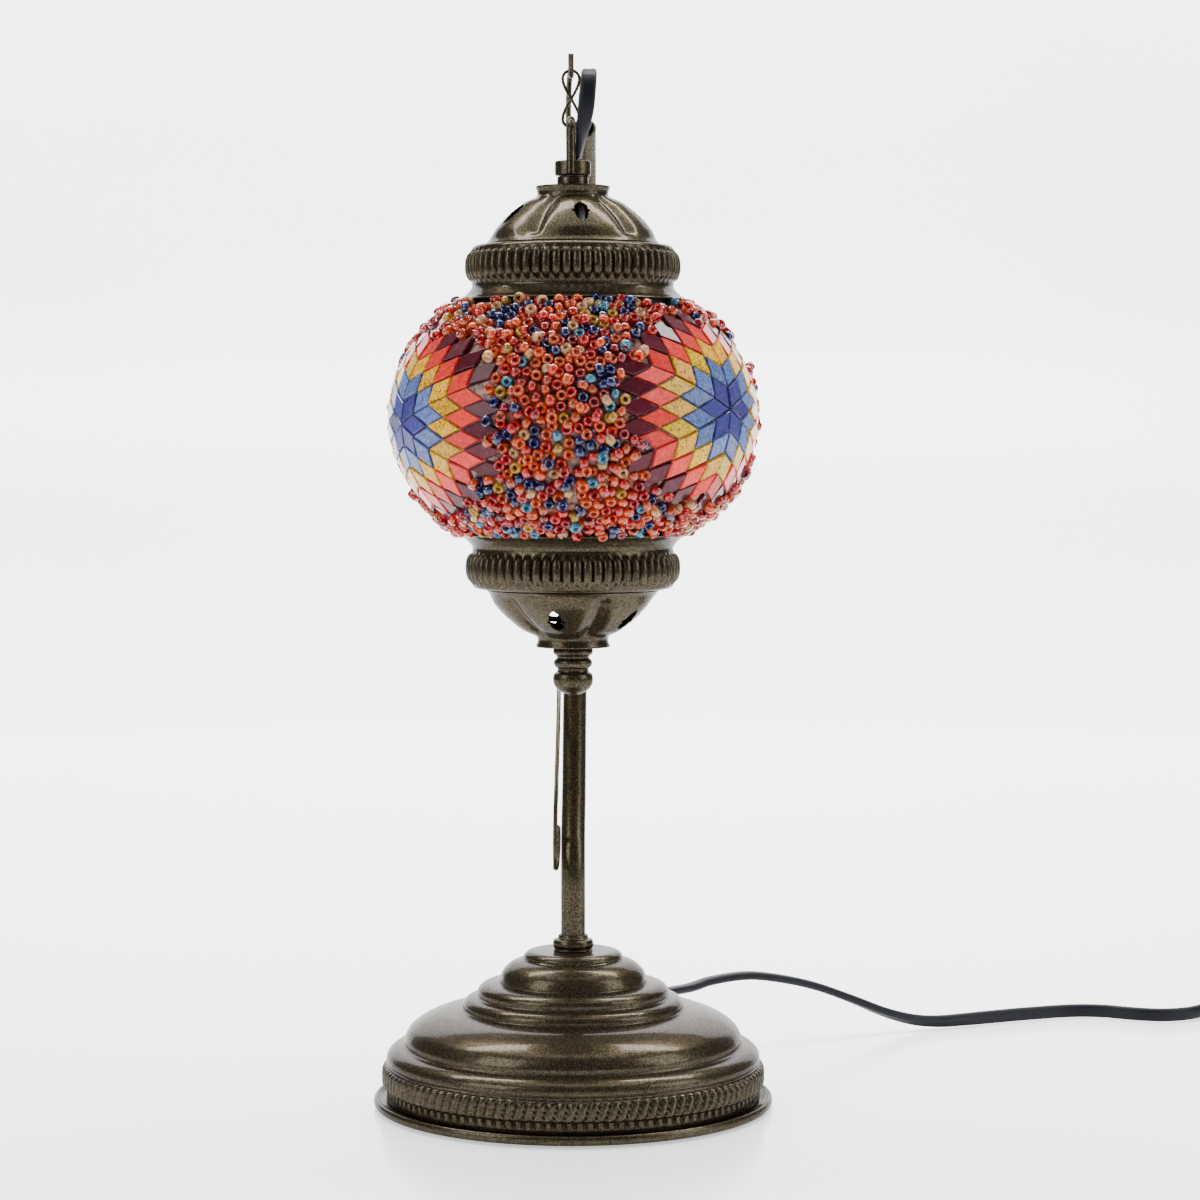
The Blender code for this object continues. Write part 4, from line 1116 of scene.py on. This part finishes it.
def paint(mesh, name, values, per_face):
    """A colour for every face corner, from one value for each group of faces."""
    layer = mesh.color_attributes.new(name, "FLOAT_COLOR", "CORNER")
    colours = []
    for face in mesh.polygons:
        value = values[face.index // per_face]
        colours += [*value, 1.0] * face.loop_total
    layer.data.foreach_set("color", colours)


def build_tiles(mats):
    rng = random.Random(7)
    outlines = []
    for index, star in enumerate(STARS):
        form = bmesh.new()
        under = bmesh.new()
        tints, mottles = [], []
        for corners, number in star_tiles(star, rng):
            add_tile(form, star, corners, rng)
            add_bedding(under, star, corners)
            outlines.append((index, corners))
            tint, mottle = TILE_RINGS[number]
            shade = rng.uniform(0.82, 1.18)
            warm = rng.uniform(0.9, 1.25) if number in (2, 3) else 1.0
            tints.append((min(1.0, tint[0] * shade), tint[1] * shade * warm, tint[2] * shade))
            mottles.append((mottle,) * 3)
        face_outward(form)
        tiles = link_mesh(f"star_tiles_{index + 1}", form, mats["tile"], 10.0)
        paint(tiles.data, "tint", tints, 10)
        paint(tiles.data, "mottle", mottles, 10)
        finish_piece(tiles, "lantern", "mosaic_glass")
        face_outward(under)
        bedding = link_mesh(f"star_bedding_{index + 1}", under, mats["grout"], 10.0)
        paint(bedding.data, "tint", tints, 6)
        finish_piece(bedding, "lantern", "mosaic_glass")
    return outlines


BEAD_TINTS = [  # tint, share of the beads
    ((0.8, 0.085, 0.004), 36), ((0.68, 0.01, 0.005), 27), ((0.45, 0.004, 0.014), 8),
    ((0.003, 0.014, 0.14), 13), ((0.07, 0.3, 0.46), 7), ((0.6, 0.32, 0.01), 4),
    ((0.75, 0.42, 0.17), 5),
]


def near_tile(way, outlines_by_star, clearance):
    for index, tiles in outlines_by_star.items():
        centre, right, up, _ = star_frame(STARS[index])
        along = way.dot(centre)
        if along < 0.45:
            continue
        away = math.acos(min(1.0, along)) * STAR_MAP_R
        flat = Vector((way.dot(right), way.dot(up)))
        dot = flat.normalized() * away if flat.length > 1e-9 else flat
        for middle, corners in tiles:
            if (dot - middle).length > 10.0:
                continue
            inside = True
            for a, b in zip(corners, corners[1:] + corners[:1]):
                side = b - a
                gap = (side.x * (dot.y - a.y) - side.y * (dot.x - a.x)) / side.length
                if gap < -clearance:
                    inside = False
                    break
            if inside:
                return True
    return False


def bead_places(outlines, rng):
    """Unit directions of a close bed of beads, clear of the tiles, and of a looser second layer."""
    by_star = {}
    for index, corners in outlines:
        middle = sum(corners, Vector((0.0, 0.0))) / 4
        by_star.setdefault(index, []).append((middle, corners))
    top = math.sin(math.acos((MOSAIC_EDGE_R - 0.7) / BED_A))

    def free(way):
        return abs(way.z) < top and not near_tile(way, by_star, 1.1)

    def scatter(count):
        ways = []
        while len(ways) < count:
            level = rng.uniform(-top, top)
            turn = rng.uniform(0.0, 2 * math.pi)
            flat = math.sqrt(1.0 - level * level)
            way = Vector((flat * math.cos(turn), flat * math.sin(turn), level))
            if free(way):
                ways.append(way)
        return ways

    def spread(ways, spacing, rounds):
        for _ in range(rounds):
            dots = [on_bed(way, 0.0)[0] for way in ways]
            tree = KDTree(len(dots))
            for k, dot in enumerate(dots):
                tree.insert(dot, k)
            tree.balance()
            for k, dot in enumerate(dots):
                push = Vector()
                for other, which, gap in tree.find_range(dot, spacing):
                    if which != k and gap > 1e-6:
                        push += (dot - other) / gap * (spacing - gap) * 0.45
                moved = dot + push - Vector((0.0, 0.0, GLOBE_Z))
                way = Vector((moved.x / BED_A, moved.y / BED_A, moved.z / BED_B)).normalized()
                if free(way):
                    ways[k] = way
        return ways

    bed = spread(scatter(BED_BEADS), 2 * BEAD_R, 30)
    return bed, spread(scatter(TOP_BEADS), 2.6 * BEAD_R, 12)


def bead_rings():
    """A bead's closed profile as (distance from its hole's axis, place along it)."""
    half = BEAD_LENGTH / 2
    middle = (BEAD_R + BEAD_HOLE_R) / 2
    thick = (BEAD_R - BEAD_HOLE_R) / 2
    return [(middle + thick * out, half * along) for out, along in soft_square(8, 0.8)]


def build_beads(mats, outlines):
    rng = random.Random(21)
    ring = bead_rings()
    sides = 12
    forms = [bmesh.new() for _ in range(4)]
    tints = [[] for _ in forms]
    choices = [tint for tint, _ in BEAD_TINTS]
    shares = [share for _, share in BEAD_TINTS]
    bed, upper = bead_places(outlines, rng)
    for way, step in [(way, 0.0) for way in bed] + [(way, 1.2) for way in upper]:
        which = int((math.atan2(way.y, way.x) + math.pi) / (2 * math.pi) * 3.999)
        upright = rng.random() < (0.62 if step == 0.0 else 0.35)
        size = rng.uniform(0.93, 1.05)
        lift = 0.55 + BEAD_LENGTH / 2 if upright else 1.75
        dot, normal = on_bed(way, lift * size + step)
        any_way = Vector([rng.uniform(-1, 1) for _ in range(3)])
        across = normal.cross(any_way).normalized()
        lean = rng.uniform(0.0, 0.4) if upright else rng.uniform(1.15, 1.57)
        axis = (normal * math.cos(lean) + across * math.sin(lean)).normalized()
        side = axis.cross(normal.cross(across) + across * 0.01).normalized()
        other = axis.cross(side)
        spokes = [side * a + other * b for a, b in circle(1.0, sides)]
        rows = [[forms[which].verts.new(dot + axis * (z * size) + spoke * (r * size))
                 for spoke in spokes] for r, z in ring]
        grid_faces(forms[which], rows, wrap_rows=True)
        tint = rng.choices(choices, shares)[0]
        shade = rng.uniform(0.75, 1.25)
        tints[which].append(tuple(min(1.0, c * shade) for c in tint))
    for number, (form, colours) in enumerate(zip(forms, tints)):
        face_outward(form)
        beads = link_mesh(f"seed_beads_{number + 1}", form, mats["bead"], 60.0)
        paint(beads.data, "tint", colours, len(ring) * sides)
        finish_piece(beads, "lantern", "mosaic_glass")


# ---------------------------------------------------------------- lamp inside the globe

def build_bulb(mats):
    radius, height = 22.5, 228.5
    neck = math.asin(5.8 / radius)
    arc = [neck + (math.pi - neck) * k / 20 for k in range(1, 20)]
    outer = [(5.6, 278.0), (5.6, 260.0), (6.4, 255.6)]
    outer += [(radius * math.sin(a), height + radius * math.cos(a)) for a in arc if a > 0.42]
    outer += [(0.0, height - radius)]
    glass = turned("bulb_envelope", outer + [(r - 0.7 if r else 0.0, z + (0.0 if r else 0.7))
                                             for r, z in reversed(outer)], 48, mats["glass"],
                   closed=False)
    finish_piece(glass, "lantern", "clear_glass", "bulb_glass")


KEPT = {
    "base_weight": "iron", "base_washer": "steel", "base_nut": "steel", "stem_locknut": "steel",
    "neck_lead": "cord", "socket_lead": "cord", "top_gasket": "rubber", "bottom_gasket": "rubber",
    "centre_nipple": "steel", "cap_nut": "steel", "socket_shell": "plastic",
    "socket_insulator": "ceramic", "screw_shell": "brass", "centre_contact": "brass",
    "bulb_cap": "brass", "bulb_stem": "glass", "harp_frame": "steel", "finial_stud": "steel",
    "stud_nut": "steel",
}


def dress_kept_nodes(mats):
    for node, mat in KEPT.items():
        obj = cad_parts[node]
        obj.data.materials.clear()
        obj.data.materials.append(mats[mat])


# ---------------------------------------------------------------- studio

def build_studio():
    """A pale sweep of floor and wall, lit by large soft boxes."""
    form = bmesh.new()
    line = [(-1.25, 0.0), (1.3, 0.0)]
    line += [(1.3 + 0.5 * math.sin(a), 0.5 - 0.5 * math.cos(a)) for a in
             [math.pi / 2 * k / 12 for k in range(1, 13)]]
    line += [(1.8, 1.5)]
    rows = [[form.verts.new((x * 1000, y * 1000, z * 1000 - 0.2)) for x in (-1.25, 1.25)]
            for y, z in line]
    for lower, upper in zip(rows, rows[1:]):
        form.faces.new((lower[0], lower[1], upper[1], upper[0]))
    s = Shader("pale_floor", Specular_IOR_Level=0.35, Emission_Color=(1.0, 1.0, 1.0, 1.0),
               Emission_Strength=0.7)
    s.colour(s.ramp(s.noise(3.0), (0.3, (0.9, 0.9, 0.905)), (0.7, (0.93, 0.93, 0.935))))
    s.roughness(s.noise(5.0), 0.16, 0.24)
    backdrop = link_mesh("studio_sweep", form, s.mat)
    world = bpy.data.worlds.new("studio")
    world.use_nodes = True
    world.node_tree.nodes["Background"].inputs["Color"].default_value = (0.9, 0.95, 1.0, 1.0)
    world.node_tree.nodes["Background"].inputs["Strength"].default_value = 0.22
    bpy.context.scene.world = world
    for name, place, aim, size, power in (
            ("key", (-1.3, -0.9, 0.9), (0.0, 0.0, 0.2), (0.9, 1.3), 20.0),
            ("fill", (1.4, -0.5, 0.8), (0.0, 0.0, 0.2), (0.8, 1.3), 17.0),
            ("top", (0.0, 0.1, 1.6), (0.0, 0.0, 0.0), (1.6, 1.2), 15.0),
            ("wall_wash", (0.0, 0.7, 1.9), (0.0, 1.8, 0.5), (3.0, 0.8), 190.0)):
        light = bpy.data.lights.new(name, "AREA")
        light.shape = "RECTANGLE"
        light.size, light.size_y = size
        light.energy = power
        lamp = bpy.data.objects.new(name, light)
        bpy.context.collection.objects.link(lamp)
        lamp.location = place
        lamp.rotation_euler = (Vector(aim) - Vector(place)).to_track_quat("-Z", "Y").to_euler()


build_camera()
MATS = make_materials()
first_cord, second_cord = build_cords(MATS)
build_gland(MATS)
switch_pieces = build_switch(MATS)
plug_pieces = [build_tie(MATS), *build_plug(MATS)]
declare_cords(first_cord, second_cord, switch_pieces, plug_pieces)
build_base(MATS)
build_neck(MATS)
build_link(MATS)
build_collar(MATS)
build_loop(MATS)
build_cap(MATS, "top", 1)
build_cap(MATS, "bottom", -1)
build_finial(MATS)
build_globe(MATS)
build_beads(MATS, build_tiles(MATS))
build_bulb(MATS)
dress_kept_nodes(MATS)
build_studio()
